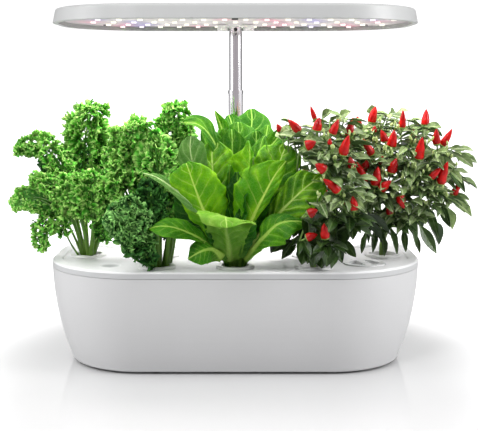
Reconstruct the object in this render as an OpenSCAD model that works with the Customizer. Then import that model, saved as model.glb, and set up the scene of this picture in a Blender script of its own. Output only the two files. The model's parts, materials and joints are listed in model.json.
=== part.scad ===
// Countertop hydroponic garden: a tapered white water base with a lift-off
// twelve-site grow deck, five planted net baskets, a circulation pump and a
// grow lamp on a two-stage telescopic post. Millimetres, +Z up. The origin is
// on the resting surface, under the middle of the base.

/* [Base] */
// Width of the base and the deck
base_w = 400; // [380:5:420]
// Depth of the base and the deck, front to back
base_d = 250; // [240:5:260]
// Corner radius of the base in plan
corner_r = 100; // [95:1:105]
// Height of the deck's rim above the resting surface
deck_h = 112; // [108:1:116]
// Radius of the side's inward sweep, seen in section
sweep_r = 280; // [260:5:340]
// Wall of the outer casing
shell_wall = 2.5; // [2:0.1:3]
// Wall of the water tank
tank_wall = 2; // [1.6:0.1:2.4]

/* [Deck] */
// Height of the deck's outer skirt
skirt_h = 7.4; // [6:0.2:9]
// Width of the rim round the sunken planting panel
rim_w = 11; // [9:0.5:13]
// Step from the rim down to the planting panel
rim_step = 1.2; // [0.8:0.1:2]
// Sideways pitch of the planting sites
site_px = 81.2; // [78:0.1:83]
// Radius of a planting hole
site_r = 16.2; // [15.5:0.1:16.5]

/* [Pods] */
// Radius of a basket's flange
flange_r = 19.7; // [18.5:0.1:21]
// Height of a basket below its flange
basket_h = 46; // [38:1:48]
// Radius of a basket's body
basket_r = 15.8; // [14.5:0.1:15.9]

/* [Lamp] */
// Width of the lamp head
lamp_w = 389; // [380:1:400]
// Depth of the lamp head
lamp_d = 243; // [236:1:250]
// Corner radius of the lamp head
lamp_r = 99; // [95:1:105]
// Height of the lamp's lower edge above the resting surface
lamp_z = 363; // [350:1:420]
// Height of the lamp head's side
lamp_h = 15; // [14:0.5:18]

/* [Post] */
// Outer radius of the lower tube
low_r = 8.5; // [8:0.1:9]
// Outer radius of the upper tube
up_r = 7.4; // [7:0.05:7.45]
// Distance of the post behind the middle of the deck
post_y = 60; // [58:1:64]
// Height of the top of the lower tube
low_top = 292; // [280:1:300]

/* [Hidden] */
$fn = 96;
cx = base_w / 2 - corner_r;
cy = base_d / 2 - corner_r;
lcx = lamp_w / 2 - lamp_r;
lcy = lamp_d / 2 - lamp_r;
shell_top = deck_h - skirt_h - 0.4;
panel_z = deck_h - rim_step;
shell_bot = 2;
// planting sites: front row of three, middle row of five, back row of four
row1 = -93.3;
row2 = -21.6;
row3 = 52;
planted = [[-2 * site_px, row2], [-site_px, row1], [0, row1], [site_px, row1], [2 * site_px, row2]];
pin_z = lamp_z - 1.6;
capped = [[-site_px, row2], [0, row2], [site_px, row2],
          [-143, row3], [-62, row3], [62, row3], [143, row3]];
fill_c = [137, -68];
float_c = [-131, -80];
white = "white";
soft = [0.93, 0.93, 0.92];

// ---------- shared shapes ----------
// Radius about a corner's own centre at height z: upright at the deck, then an arc inwards.
function side_r(z) = corner_r - (sweep_r - sqrt(sweep_r * sweep_r - (108 - z) * (108 - z)));
function zs(z0, z1, n) = [for (i = [0:n]) z0 + (z1 - z0) * i / n];

// A [r, z] section carried round a rounded rectangle whose corner centres are at +-ax, +-ay.
module rim_sweep(p, ax, ay) {
    for (sx = [0, 1], sy = [0, 1])
        mirror([sx, 0, 0]) mirror([0, sy, 0])
            translate([ax, ay, 0]) rotate_extrude(angle = 90) polygon(p);
    for (s = [0, 1]) {
        mirror([0, s, 0]) translate([-ax, ay, 0]) rotate([90, 0, 90]) linear_extrude(2 * ax) polygon(p);
        mirror([s, 0, 0]) translate([ax, ay, 0]) rotate([90, 0, 0]) linear_extrude(2 * ay) polygon(p);
    }
}

// A flat rounded rectangle with corner centres at +-ax, +-ay and corner radius r.
module pad2d(ax, ay, r) {
    square([2 * ax + 2 * r, 2 * ay], center = true);
    square([2 * ax, 2 * ay + 2 * r], center = true);
    for (x = [-ax, ax], y = [-ay, ay]) translate([x, y]) circle(r);
}

module plate(ax, ay, r, z0, z1) {
    translate([0, 0, z0]) linear_extrude(z1 - z0) pad2d(ax, ay, r);
}

module at_sites(list) { for (s = list) translate([s[0], s[1], 0]) children(); }

// ---------- base ----------
feet_at = [[-130, -62], [130, -62], [-130, 62], [130, 62], [0, 0]];
screw_at = [[-150, 0], [150, 0], [-75, -78], [75, -78], [-75, 80], [75, 80]];
lip_r = side_r(6) - 16;

module base_shell() color(white) {
    zo = zs(6, 100, 12);
    r6 = side_r(6);
    outer = concat(
        [for (a = [0, 22.5, 45, 67.5]) [r6 - 4 + 4 * sin(a), 6 - 4 * cos(a)]],
        [for (z = zo) [side_r(z), z]],
        [[corner_r, shell_top]]);
    inner = concat(
        [[corner_r - shell_wall, shell_top]],
        [for (i = [len(zo) - 1:-1:1]) [side_r(zo[i]) - shell_wall, zo[i]]],
        [[side_r(6) - shell_wall - 1, 4.5], [lip_r, 4.5], [lip_r, 2]]);
    difference() {
        union() {
            rim_sweep(concat(outer, inner), cx, cy);
            // ledge that carries the tank's lip
            rim_sweep([[corner_r - shell_wall - 2.6, 94.5], [corner_r - shell_wall + 0.4, 91.5],
                       [corner_r - shell_wall + 0.4, 97.8], [corner_r - shell_wall - 2.6, 97.8]], cx, cy);
            // boss behind the power inlet
            translate([60, 102, 14]) rotate([-90, 0, 0]) cylinder(r = 7.4, h = 5);
        }
        // hole for the power inlet in the back wall
        translate([60, 100, 14]) rotate([-90, 0, 0]) cylinder(r = 5.1, h = 30);
        // notch in the ledge for the pump's lead
        translate([-62, base_d / 2 - 8.5, 85]) cube([8, 6, 20]);
    }
}

module water_tank() color([0.9, 0.91, 0.92]) {
    zo = zs(24, 100, 8);
    o = 5.6;
    outer = [for (z = zo) [side_r(z) - o, z]];
    inner = [for (i = [len(zo) - 1:-1:0]) [side_r(zo[i]) - o - tank_wall, zo[i]]];
    difference() {
        union() {
            rim_sweep(concat([[side_r(24) - o - 0.8, 22]], outer, inner, [[side_r(24) - o - tank_wall, 22]]), cx, cy);
            plate(cx, cy, side_r(24) - o - tank_wall + 0.4, 22, 24);
            rim_sweep([[corner_r - o - 0.5, 98], [corner_r - shell_wall - 0.3, 98],
                       [corner_r - shell_wall - 0.3, 100], [corner_r - o - 0.5, 100]], cx, cy);
            for (s = screw_at) translate([s[0], s[1], 4.8]) cylinder(r = 4, h = 17.5);
        }
        translate([-62, base_d / 2 - 8.5, 96]) cube([8, 6.5, 6]);
        for (s = screw_at) translate([s[0], s[1], 4]) cylinder(r = 1.25, h = 12);
    }
}

module bottom_cover() color([0.85, 0.85, 0.85]) difference() {
    plate(cx, cy, lip_r - 0.3, 2, 4.4);
    for (s = screw_at) translate([s[0], s[1], 1]) cylinder(r = 1.7, h = 5);
    for (s = screw_at) translate([s[0], s[1], 1]) cylinder(r = 3.4, h = 2.4);
    for (s = feet_at) translate([s[0], s[1], 1]) cylinder(r = 9.1, h = 2);
    for (i = [-4:4]) translate([i * 12 - 1.5, 20, 1]) cube([3, 30, 5]);
}

module rubber_feet() color([0.25, 0.25, 0.26]) for (s = feet_at) translate([s[0], s[1], 0]) cylinder(r = 9, h = 3);

module cover_screws() color("silver") for (s = screw_at) translate([s[0], s[1], 0]) {
    difference() {
        translate([0, 0, 2.1]) cylinder(r = 3, h = 1.2);
        translate([-0.5, -2, 2]) cube([1, 4, 0.8]);
    }
    translate([0, 0, 3.2]) cylinder(r = 1.2, h = 10);
}

module dc_inlet() color([0.15, 0.15, 0.15]) translate([60, 0, 14]) rotate([-90, 0, 0]) {
    difference() {
        union() {
            translate([0, 0, 92]) cylinder(r = 4.8, h = 17);
            translate([0, 0, 90]) cylinder(r = 6.2, h = 12);
        }
        translate([0, 0, 98]) cylinder(r = 2.85, h = 20);
    }
    translate([0, 0, 97]) cylinder(r = 1.0, h = 10.5);
}

module control_board() color([0.1, 0.4, 0.2]) difference() {
    union() {
        translate([15, 40, 9]) cube([55, 36, 1.6]);
        translate([22, 48, 10.6]) cube([9, 9, 4]);
        translate([36, 46, 10.6]) cube([7, 5, 2.2]);
        translate([52, 62, 10.6]) cube([12, 9, 3]);
        translate([26, 66, 10.6]) cylinder(r = 3.2, h = 8);
        translate([40, 66, 10.6]) cylinder(r = 3.2, h = 8);
        for (x = [18, 67], y = [43, 73]) translate([x, y, 4.4]) cylinder(r = 2, h = 4.7);
    }
}

// ---------- pump: stands on the tank's floor, behind the middle ----------
px = -60;
py = 62;
pz = 24;
module pump_housing() color([0.2, 0.2, 0.22]) difference() {
    union() {
        translate([px - 16, py - 17, pz]) cube([30, 34, 29]);
        translate([px + 6, py, pz + 28]) cylinder(r = 4.2, h = 9);
        translate([px - 6, py + 11, pz + 28]) cylinder(r = 2.4, h = 2.5);
    }
    // rotor chamber, open to the left, and the outlet that leaves it upwards
    translate([px - 17, py, pz + 14]) rotate([0, 90, 0]) cylinder(r = 11, h = 17);
    translate([px - 6, py, pz + 14]) rotate([0, 90, 0]) cylinder(r = 7.2, h = 18);
    translate([px + 6, py, pz + 20]) cylinder(r = 2.6, h = 20);
    translate([px + 10, py, pz + 14]) rotate([0, 90, 0]) cylinder(r = 1.2, h = 3.2);
}
module pump_shaft() color([0.92, 0.92, 0.9])
    translate([px - 18.5, py, pz + 14]) rotate([0, 90, 0]) cylinder(r = 1.2, h = 31.7);
module pump_impeller() color([0.25, 0.25, 0.27]) translate([px, py, pz + 14]) rotate([0, 90, 0]) difference() {
    union() {
        translate([0, 0, -2]) cylinder(r = 6.6, h = 12.5);
        translate([0, 0, -4.5]) cylinder(r = 9.5, h = 1.8);
        for (a = [0:60:300]) rotate([0, 0, a]) translate([1.5, -0.7, -12]) cube([8, 1.4, 8]);
        translate([0, 0, -13.5]) cylinder(r = 2.6, h = 14);
    }
    translate([0, 0, -15]) cylinder(r = 1.26, h = 30);
}
module pump_cover() color([0.3, 0.3, 0.32]) difference() {
    union() {
        translate([px - 19, py - 17, pz]) cube([3, 34, 29]);
        translate([px - 16, py, pz + 14]) rotate([0, 90, 0]) difference() {
            cylinder(r = 10.8, h = 1.2);
            translate([0, 0, -1]) cylinder(r = 9, h = 4);
        }
    }
    for (i = [-2:2]) if (i != 0) translate([px - 20, py - 8, pz + 13 + i * 4.2]) cube([5, 16, 2]);
    translate([px - 18.6, py, pz + 14]) rotate([0, 90, 0]) cylinder(r = 1.2, h = 5);
}
module pump_filter() color([0.15, 0.15, 0.15]) translate([px - 27, py - 15, pz]) cube([8, 30, 27]);

// The pump's lead: over the tank's rim, down between tank and casing, and under the tank to the board.
lead_gap = cy - 4.05;
lead = concat([[px - 6, py + 11, pz + 30.5], [px - 6, py + 11, 68], [-64, 94, 88], [-60, 104, 99], [-58, 112, 102.2], [-58, 118.5, 102.2], [-58, 120.7, 97]],
    [for (z = [90:-11:24]) [-58, lead_gap + side_r(z), z]],
    [[-57, 101, 15.5], [-50, 94, 12.6], [-30, 78, 12.3], [0, 58, 12.3], [12, 52.5, 12.3], [22, 52.5, 12.3]]);
function round_off(p) = concat([p[0]], [for (i = [0:len(p) - 2]) each [p[i] * 0.75 + p[i + 1] * 0.25, p[i] * 0.25 + p[i + 1] * 0.75]], [p[len(p) - 1]]);
function unit(v) = v / norm(v);
module tube(p, r, k = 8) {
    n = len(p);
    t = [for (i = [0:n - 1]) i == 0 ? [0, 0, 1] : i == n - 1 ? [1, 0, 0] : unit(unit(p[i] - p[i - 1]) + unit(p[i + 1] - p[i]))];
    u = [for (v = t) unit(cross(v, [0.55, -0.62, 0.56]))];
    rings = [for (i = [0:n - 1], j = [0:k - 1]) let (w = cross(t[i], u[i])) p[i] + r * (u[i] * cos(360 * j / k) + w * sin(360 * j / k))];
    polyhedron(rings, concat([[for (j = [k - 1:-1:0]) j]], [[for (j = [0:k - 1]) (n - 1) * k + j]],
        [for (i = [0:n - 2], j = [0:k - 1]) each [[i * k + j, i * k + (j + 1) % k, (i + 1) * k + j],
            [i * k + (j + 1) % k, (i + 1) * k + (j + 1) % k, (i + 1) * k + j]]]));
}
module pump_cable() color([0.12, 0.12, 0.12]) tube(round_off(lead), 1);

// ---------- deck ----------
module deck_lid() color(white) {
    R = corner_r;
    difference() {
        union() {
            plate(cx, cy, R - 4, panel_z - 3, panel_z);
            rim_sweep([[R - rim_w - 1, panel_z - 3], [R - rim_w - 1, panel_z], [R - rim_w, deck_h],
                       [R - 2.2, deck_h], [R - 1.05, deck_h - 0.3], [R - 0.3, deck_h - 1.05], [R, deck_h - 2.2],
                       [R, deck_h - skirt_h], [R - 2.4, deck_h - skirt_h], [R - 2.4, panel_z - 3]], cx, cy);
            // tongue that drops inside the tank
            rim_sweep([[R - 10.2, 97], [R - 8.2, 97], [R - 8.2, panel_z - 2.5], [R - 10.2, panel_z - 2.5]], cx, cy);
            // ring that rests on the tank's lip
            rim_sweep([[R - 5.8, 100.05], [R - 4, 100.05], [R - 4, panel_z - 2.5], [R - 5.8, panel_z - 2.5]], cx, cy);
            // collar under the filling hole, and the float's cage
            translate([fill_c[0], fill_c[1], 96]) cylinder(r = 20.4, h = panel_z - 96);
            translate([float_c[0], float_c[1], 50]) cylinder(r = 13, h = panel_z - 50);
            // pad under the post
            translate([0, post_y, panel_z - 6]) cylinder(r = 24, h = 6);
        }
        at_sites(concat(planted, capped)) translate([0, 0, 90]) cylinder(r = site_r, h = 40);
        translate([fill_c[0], fill_c[1], 90]) cylinder(r = 18, h = 40);
        translate([fill_c[0], fill_c[1], panel_z - 2.2]) cylinder(r = 22.6, h = 10);
        translate([float_c[0], float_c[1], 80]) cylinder(r = 3.6, h = 50);
        translate([float_c[0], float_c[1], 51.6]) cylinder(r = 11.4, h = 43);
        translate([float_c[0], float_c[1], 40]) cylinder(r = 8.5, h = 20);
        translate([float_c[0] - 20, float_c[1] - 2.5, 56]) cube([40, 5, 30]);
        // shallow dish about the float's head
        translate([float_c[0], float_c[1], panel_z + 22.4]) sphere(r = 25);
        translate([0, post_y, 90]) cylinder(r = 12.2, h = 40);
        // notch in the tongue for the pump's lead
        translate([-62, base_d / 2 - 12, 90]) cube([8, 9.2, 15.5]);
        for (a = [45:90:315]) translate([0, post_y, 90]) rotate([0, 0, a]) translate([18, 0, 0]) cylinder(r = 1.3, h = 18.5);
    }
}

module post_socket() color([0.88, 0.88, 0.88]) translate([0, post_y, 0]) difference() {
    union() {
        translate([0, 0, 58]) cylinder(r = 12, h = 57);
        translate([0, 0, 112.2]) cylinder(r = 14.5, h = 4.2);
        translate([0, 0, 101.6]) cylinder(r = 23, h = 3);
    }
    translate([0, 0, 60.5]) cylinder(r = low_r + 0.05, h = 70);
    for (a = [45:90:315]) rotate([0, 0, a]) translate([18, 0, 100]) cylinder(r = 1.6, h = 10);
}
module socket_screws() color("silver") for (a = [45:90:315])
    translate([0, post_y, 0]) rotate([0, 0, a]) translate([18, 0, 0]) {
        translate([0, 0, 99.8]) cylinder(r = 2.8, h = 1.7);
        translate([0, 0, 101.4]) cylinder(r = 1.25, h = 6.2);
    }

module lower_tube() color([0.8, 0.8, 0.82]) translate([0, post_y, 60.6]) difference() {
    cylinder(r = low_r, h = low_top - 4 - 60.6);
    translate([0, 0, -1]) cylinder(r = low_r - 0.95, h = 300);
}
module tube_collar() color([0.86, 0.86, 0.88]) translate([0, post_y, low_top - 4]) difference() {
    cylinder(r = low_r + 0.25, h = 4);
    translate([0, 0, -1]) cylinder(r = up_r + 0.05, h = 6);
}

// The float hangs in its guide: a head above, a stem and a buoyant body below.
module level_float() color([0.35, 0.36, 0.38]) translate([float_c[0], float_c[1], 0]) {
    translate([0, 0, 86]) cylinder(r = 3.2, h = 22.5);
    translate([0, 0, 64]) cylinder(r = 10.4, h = 22.2);
}

module fill_cap() color([0.96, 0.96, 0.95]) translate([fill_c[0], fill_c[1], 0]) difference() {
    union() {
        translate([0, 0, panel_z - 2.1]) cylinder(r = 22, h = 3.1);
        translate([0, 0, 97]) cylinder(r = 17.7, h = panel_z - 2 - 97);
    }
    translate([0, 0, 90]) cylinder(r = 16.2, h = panel_z - 90 - 7.5);
    // two finger pockets with a grip bar left between them
    rotate([0, 0, 14]) for (s = [0, 1]) mirror([s, 0, 0]) intersection() {
        translate([0, 0, panel_z - 6]) cylinder(r = 15.8, h = 12);
        translate([4, -20, panel_z - 6]) cube([20, 40, 12]);
    }
}

// ---------- post and lamp ----------
module upper_tube() color([0.84, 0.84, 0.86]) translate([0, post_y, 142]) difference() {
    cylinder(r = up_r, h = lamp_z + 9 - 142);
    translate([0, 0, -1]) cylinder(r = up_r - 0.9, h = 300);
    translate([0, 0, pin_z - 142]) rotate([90, 0, 0]) cylinder(r = 2.2, h = 20);
    translate([0, 0, pin_z - 5 - 142]) rotate([90, 0, 0]) cylinder(r = 0.8, h = 20);
}
module tube_guide() color([0.9, 0.9, 0.88]) translate([0, post_y, 0]) difference() {
    union() {
        translate([0, 0, 138]) cylinder(r = 7.5, h = 4);
        translate([0, 0, 141.5]) cylinder(r = up_r - 0.9, h = 8);
    }
    translate([0, 0, 130]) cylinder(r = 4.2, h = 30);
}
// Spring pin at the front of the upper tube that holds the lamp on
module snap_pin() color([0.12, 0.12, 0.13]) translate([0, post_y - up_r + 2.6, pin_z]) rotate([90, 0, 0])
    cylinder(r = 1.9, h = 3.2);

module lamp_bracket() color([0.88, 0.88, 0.86]) translate([0, post_y, 0]) difference() {
    union() {
        translate([-21, -8, lamp_z + 1]) cube([42, 16, 2.6]);
        translate([0, 0, lamp_z + 1]) cylinder(r = 11, h = 11);
        // two round lugs that show below the lamp's edge
        for (x = [-15, 15]) translate([x, 0, lamp_z - 2.6]) cylinder(r = 6.4, h = 4);
    }
    translate([0, 0, lamp_z - 10]) cylinder(r = up_r + 0.05, h = 19.1);
}

function lamp_side(z) = lamp_r - 0.2 * (z - lamp_z);
module lamp_housing() color(white) {
    r1 = lamp_side(lamp_z + lamp_h - 3);
    t = lamp_z + lamp_h;
    difference() {
        union() {
            rim_sweep([[lamp_r - 0.5, lamp_z], [lamp_r, lamp_z + 0.6], [r1, t - 3], [r1 - 0.5, t - 1.6],
                       [r1 - 1.6, t - 0.5], [r1 - 3, t], [r1 - 20, t], [r1 - 20, t - 2.2], [r1 - 3, t - 2.2],
                       [lamp_r - 6, lamp_z + 6], [lamp_r - 6, lamp_z]], lcx, lcy);
            plate(lcx, lcy, lamp_side(t) - 18, t - 2.2, t);
            for (x = [-150, 150], y = [-60, 60]) translate([x, y, lamp_z + 6]) cylinder(r = 3.5, h = lamp_h - 7.5);
            for (y = [-60, 60]) translate([0, y + (y > 0 ? 30 : -18), lamp_z + 6]) cylinder(r = 3.5, h = lamp_h - 7.5);
        }
        for (x = [-150, 150], y = [-60, 60]) translate([x, y, lamp_z + 3]) cylinder(r = 1.2, h = 9);
        for (y = [-60, 60]) translate([0, y + (y > 0 ? 30 : -18), lamp_z + 3]) cylinder(r = 1.2, h = 9);
        // pocket for the push button in the front rim
        translate([0, button_y, lamp_z - 1]) stadium(6.8, 3.6, 6.2);
    }
}
module led_board() color([0.86, 0.85, 0.84]) difference() {
    plate(lcx, lcy, lamp_r - 6.3, lamp_z + 4.4, lamp_z + 6);
    translate([0, post_y, lamp_z]) cylinder(r = 11.2, h = 10);
    for (x = [-150, 150], y = [-60, 60]) translate([x, y, lamp_z]) cylinder(r = 1.7, h = 9);
    for (y = [-60, 60]) translate([0, y + (y > 0 ? 30 : -18), lamp_z]) cylinder(r = 1.7, h = 9);
}
// Lamp chips: five staggered rows, with a few red and blue ones spread among the white,
// clear of the post and the front screw
led_rows = [-82, -37, 8, 53, 97];
red_at = [[0, 3], [0, 9], [1, 6], [1, 8], [2, 0], [2, 9], [2, 14], [3, 1], [3, 9], [3, 12], [4, 1], [4, 5], [4, 9], [4, 13]];
blue_at = [[0, 5], [0, 12], [1, 0], [1, 10], [1, 13], [2, 2], [2, 11], [3, 2], [4, 2], [4, 11]];
function led_x(r, i) = (i - 7) * 22.4 + (r % 2) * 11.2;
function listed(list, r, i) = len([for (e = list) if (e[0] == r && e[1] == i) 1]) > 0;
function led_kind(r, i) = listed(red_at, r, i) ? 1 : listed(blue_at, r, i) ? 2 : 0;
function led_ok(r, i) = abs(led_x(r, i)) < (r == 4 ? 140 : r == 0 ? 158 : 170) && !(r == 3 && abs(led_x(r, i)) < 30) && !(r == 0 && i == 7);
module leds(kind) {
    for (r = [0:4], i = [0:14]) if (led_ok(r, i) && led_kind(r, i) == kind)
        translate([led_x(r, i) - 2.5, led_rows[r] - 2.5, lamp_z + 2.8]) cube([5, 5, 1.6]);
}
module leds_white() color([1, 0.97, 0.85]) leds(0);
module leds_red() color([1, 0.45, 0.5]) leds(1);
module leds_blue() color([0.5, 0.5, 1]) leds(2);
module lamp_driver() color([0.1, 0.35, 0.2]) {
    translate([-55, 64, lamp_z + 6.2]) cube([34, 22, 1.4]);
    translate([-50, 68, lamp_z + 7.6]) cube([10, 10, 4]);
    translate([-34, 68, lamp_z + 7.6]) cube([7, 7, 3]);
}
module lamp_screws() color("silver") {
    for (x = [-150, 150], y = [-60, 60]) translate([x, y, 0]) {
        translate([0, 0, lamp_z + 2.7]) cylinder(r = 2.6, h = 1.6);
        translate([0, 0, lamp_z + 4.2]) cylinder(r = 1.15, h = 7);
    }
    for (y = [-60, 60]) translate([0, y + (y > 0 ? 30 : -18), 0]) {
        translate([0, 0, lamp_z + 2.7]) cylinder(r = 2.6, h = 1.6);
        translate([0, 0, lamp_z + 4.2]) cylinder(r = 1.15, h = 7);
    }
}
button_y = 3.4 - lamp_d / 2;
// A round-ended upright block, w wide and d deep
module stadium(w, d, h) {
    translate([-(w - d) / 2, -d / 2, 0]) cube([w - d, d, h]);
    for (x = [-(w - d) / 2, (w - d) / 2]) translate([x, 0, 0]) cylinder(r = d / 2, h = h);
}
module lamp_button() color([0.1, 0.1, 0.11]) translate([0, button_y, lamp_z - 1.3]) stadium(6.4, 3.2, 4.9);

// ---------- pods ----------
module basket(s) color([0.97, 0.97, 0.96]) translate([s[0], s[1], 0]) difference() {
    union() {
        translate([0, 0, panel_z + 3 - basket_h]) cylinder(r = basket_r, h = basket_h - 1);
        translate([0, 0, panel_z + 0.05]) rotate_extrude()
            polygon([[14.4, 0], [flange_r - 0.5, 0], [flange_r, 0.7], [flange_r, 1.7], [flange_r - 0.5, 2.5],
                     [flange_r - 1.4, 2.95], [14.4, 2.95]]);
    }
    translate([0, 0, panel_z + 3 - basket_h + 1.8]) cylinder(r = 14.2, h = 80);
    for (a = [0:60:120]) rotate([0, 0, a]) translate([-20, -2.5, panel_z - 36]) cube([40, 5, 26]);
    for (x = [-6, 0, 6]) translate([x - 1.2, -8, 60]) cube([2.4, 16, 12]);
}
module sponge(s) color([0.22, 0.17, 0.12]) translate([s[0], s[1], panel_z + 3 - basket_h + 2])
    cylinder(r = 13.9, h = 38);
module site_cap(s) color([0.95, 0.95, 0.94]) translate([s[0], s[1], 0]) {
    translate([0, 0, panel_z + 0.05]) rotate_extrude()
        polygon([[0, 0], [flange_r - 0.5, 0], [flange_r, 0.7], [flange_r - 0.3, 1.7], [flange_r - 1.4, 2.3],
                 [16.4, 2.6], [15.4, 1.9], [4, 1.9], [3.4, 2.4], [0, 2.6]]);
    difference() {
        translate([0, 0, panel_z - 9]) cylinder(r = basket_r, h = 9.5);
        translate([0, 0, panel_z - 10]) cylinder(r = 14.3, h = 9.5);
    }
}

// ---------- plants: each is a stem and a crown, kept to its own ground ----------
stem_z = panel_z + 3 - basket_h + 40.3;
module crown(s, p, cell) {
    intersection() {
        translate([s[0], s[1], 0]) rotate_extrude($fn = 72) polygon(p);
        translate([0, 0, 100]) linear_extrude(200) polygon(cell);
    }
}
kale_p = [[0, stem_z], [8.5, stem_z], [12, 122], [30, 140], [58, 134], [78, 146], [90, 176], [91, 210],
          [80, 246], [56, 272], [28, 284], [0, 284]];
romaine_p = [[0, stem_z], [9, stem_z], [13, 122], [26, 132], [44, 133], [72, 146], [92, 176], [93, 200],
             [84, 226], [60, 256], [30, 270], [0, 272]];
chilli_p = [[0, stem_z], [5, stem_z], [7, 124], [24, 134], [62, 134], [86, 148], [98, 180], [99, 222],
            [84, 254], [54, 276], [24, 284], [0, 284]];
kale_left_cell = [[-262, -126], [-184, -126], [-125, -60], [-72.5, -2], [-70, 40], [-86, 92], [-262, 92]];
kale_right_cell = [[-182, -128], [-182, -184], [-97, -184], [-97, -117.5], [-44, -110.5], [-44, -56], [-66, -50.5], [-68.5, -4], [-122.5, -62]];
romaine_cell = [[-95, -188], [-95, -120], [-42, -113], [-42, -54], [-64, -48], [-66, 44], [58, 44], [58, -44], [42, -54], [42, -113], [93, -120], [93, -188]];
chilli_left_cell = [[44, -110.5], [44, -57], [60, -47.5], [60, 10], [66, 0], [121.8, -59.5], [184, -130], [184, -188], [95, -188], [95, -117.5]];
chilli_right_cell = [[262, -126], [184, -127.5], [123.5, -58.5], [68, 1], [62, 12], [62, 92], [262, 92]];
module kale_left() color([0.2, 0.5, 0.15]) crown(planted[0], kale_p, kale_left_cell);
module kale_right() color([0.2, 0.5, 0.15]) crown(planted[1], kale_p, kale_right_cell);
module romaine() color([0.4, 0.7, 0.1]) crown(planted[2], romaine_p, romaine_cell);
module chilli_left() color([0.3, 0.45, 0.2]) crown(planted[3], chilli_p, chilli_left_cell);
module chilli_right() color([0.3, 0.45, 0.2]) crown(planted[4], chilli_p, chilli_right_cell);

base_shell();
water_tank();
bottom_cover();
rubber_feet();
cover_screws();
dc_inlet();
control_board();
pump_housing();
pump_cover();
pump_shaft();
pump_impeller();
pump_filter();
pump_cable();
deck_lid();
post_socket();
socket_screws();
lower_tube();
tube_collar();
level_float();
fill_cap();
upper_tube();
tube_guide();
lamp_bracket();
lamp_housing();
led_board();
leds_white();
leds_red();
leds_blue();
lamp_driver();
lamp_screws();
lamp_button();
snap_pin();
basket(planted[0]);  // basket_1
basket(planted[1]);  // basket_2
basket(planted[2]);  // basket_3
basket(planted[3]);  // basket_4
basket(planted[4]);  // basket_5
sponge(planted[0]);  // sponge_1
sponge(planted[1]);  // sponge_2
sponge(planted[2]);  // sponge_3
sponge(planted[3]);  // sponge_4
sponge(planted[4]);  // sponge_5
kale_left();
kale_right();
romaine();
chilli_left();
chilli_right();
site_cap(capped[0]);  // site_cap_1
site_cap(capped[1]);  // site_cap_2
site_cap(capped[2]);  // site_cap_3
site_cap(capped[3]);  // site_cap_4
site_cap(capped[4]);  // site_cap_5
site_cap(capped[5]);  // site_cap_6
site_cap(capped[6]);  // site_cap_7
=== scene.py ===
"""Looks of the countertop hydroponic garden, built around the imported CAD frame."""
import json
import math

import bpy
import numpy as np
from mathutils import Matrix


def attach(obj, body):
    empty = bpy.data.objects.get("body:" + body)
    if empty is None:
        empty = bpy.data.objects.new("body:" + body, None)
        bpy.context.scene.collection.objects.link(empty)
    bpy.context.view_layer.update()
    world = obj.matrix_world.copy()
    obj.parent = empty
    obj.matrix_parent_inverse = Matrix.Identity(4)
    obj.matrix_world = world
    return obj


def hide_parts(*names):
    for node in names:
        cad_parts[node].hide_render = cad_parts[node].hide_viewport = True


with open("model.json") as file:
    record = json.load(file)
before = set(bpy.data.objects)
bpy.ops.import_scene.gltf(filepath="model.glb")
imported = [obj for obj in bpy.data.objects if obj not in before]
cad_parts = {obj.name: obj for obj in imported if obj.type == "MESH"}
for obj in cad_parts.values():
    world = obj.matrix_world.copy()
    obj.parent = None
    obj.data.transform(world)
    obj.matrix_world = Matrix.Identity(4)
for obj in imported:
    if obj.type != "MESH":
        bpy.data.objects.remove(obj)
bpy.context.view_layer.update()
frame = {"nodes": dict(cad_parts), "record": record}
scene = bpy.context.scene
scene.view_settings.view_transform = "Standard"

# ------------------------------------------------------------------ camera
PITCH = math.radians(7.48)
EYE = np.array([3.9, -1118.2, 299.8])
FOCAL = 1004.81
cam = bpy.data.objects.new("view_camera", bpy.data.cameras.new("view_camera"))
scene.collection.objects.link(cam)
cam.location = EYE / 1000
cam.rotation_euler = (math.pi / 2 - PITCH, 0, 0)
cam.data.lens = 75.67
cam.data.sensor_width = 36
cam.data.clip_end = 50
scene.camera = cam


def P(px, py, y):
    """The point in mm on the line of sight of a picture position (478 x 431) at depth y."""
    v = (215.5 - py) / FOCAL
    d = np.array([(px - 239) / FOCAL, math.cos(PITCH) + v * math.sin(PITCH), -math.sin(PITCH) + v * math.cos(PITCH)])
    return EYE + d * ((y - EYE[1]) / d[1])


def PP(points):
    return np.array([P(*p) for p in points])


# ------------------------------------------------------------------ light
def soft_box(name, at, aim, size, power, colour=(1, 1, 1)):
    l = bpy.data.lights.new(name, "AREA")
    l.shape = "RECTANGLE"
    l.size, l.size_y = size
    l.energy = power
    l.color = colour
    o = bpy.data.objects.new(name, l)
    scene.collection.objects.link(o)
    o.location = at
    d = np.array(aim, float) - np.array(at, float)
    from mathutils import Vector
    o.rotation_euler = Vector(d).to_track_quat("-Z", "Y").to_euler()
    return o


soft_box("key_box", (-0.6, -1.15, 1.25), (0, -0.05, 0.2), (0.5, 0.4), 7.2)
soft_box("right_box", (1.3, -0.45, 0.8), (0, 0, 0.15), (0.5, 0.9), 14)
soft_box("left_box", (-1.3, -0.4, 0.7), (0, 0, 0.15), (0.5, 0.9), 7)
glow = soft_box("lamp_glow", (0, 0, 0.36), (0, 0, 0), (0.34, 0.2), 2.2, (1.0, 0.96, 0.97))
rim_glow = soft_box("rim_glow", (0, 0.03, 0.3652), (0, 1, 0.3652), (0.34, 0.0025), 0.012, (1.0, 0.97, 0.98))
rim_glow.visible_camera = False
rim_glow.visible_glossy = False
glow.visible_camera = False
glow.visible_glossy = False
sun = bpy.data.lights.new("sun_soft", "SUN")
sun.energy = 0.9
sun.angle = math.radians(35)
sun_o = bpy.data.objects.new("sun_soft", sun)
scene.collection.objects.link(sun_o)
sun_o.rotation_euler = (math.radians(14), math.radians(-10), 0)

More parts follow.
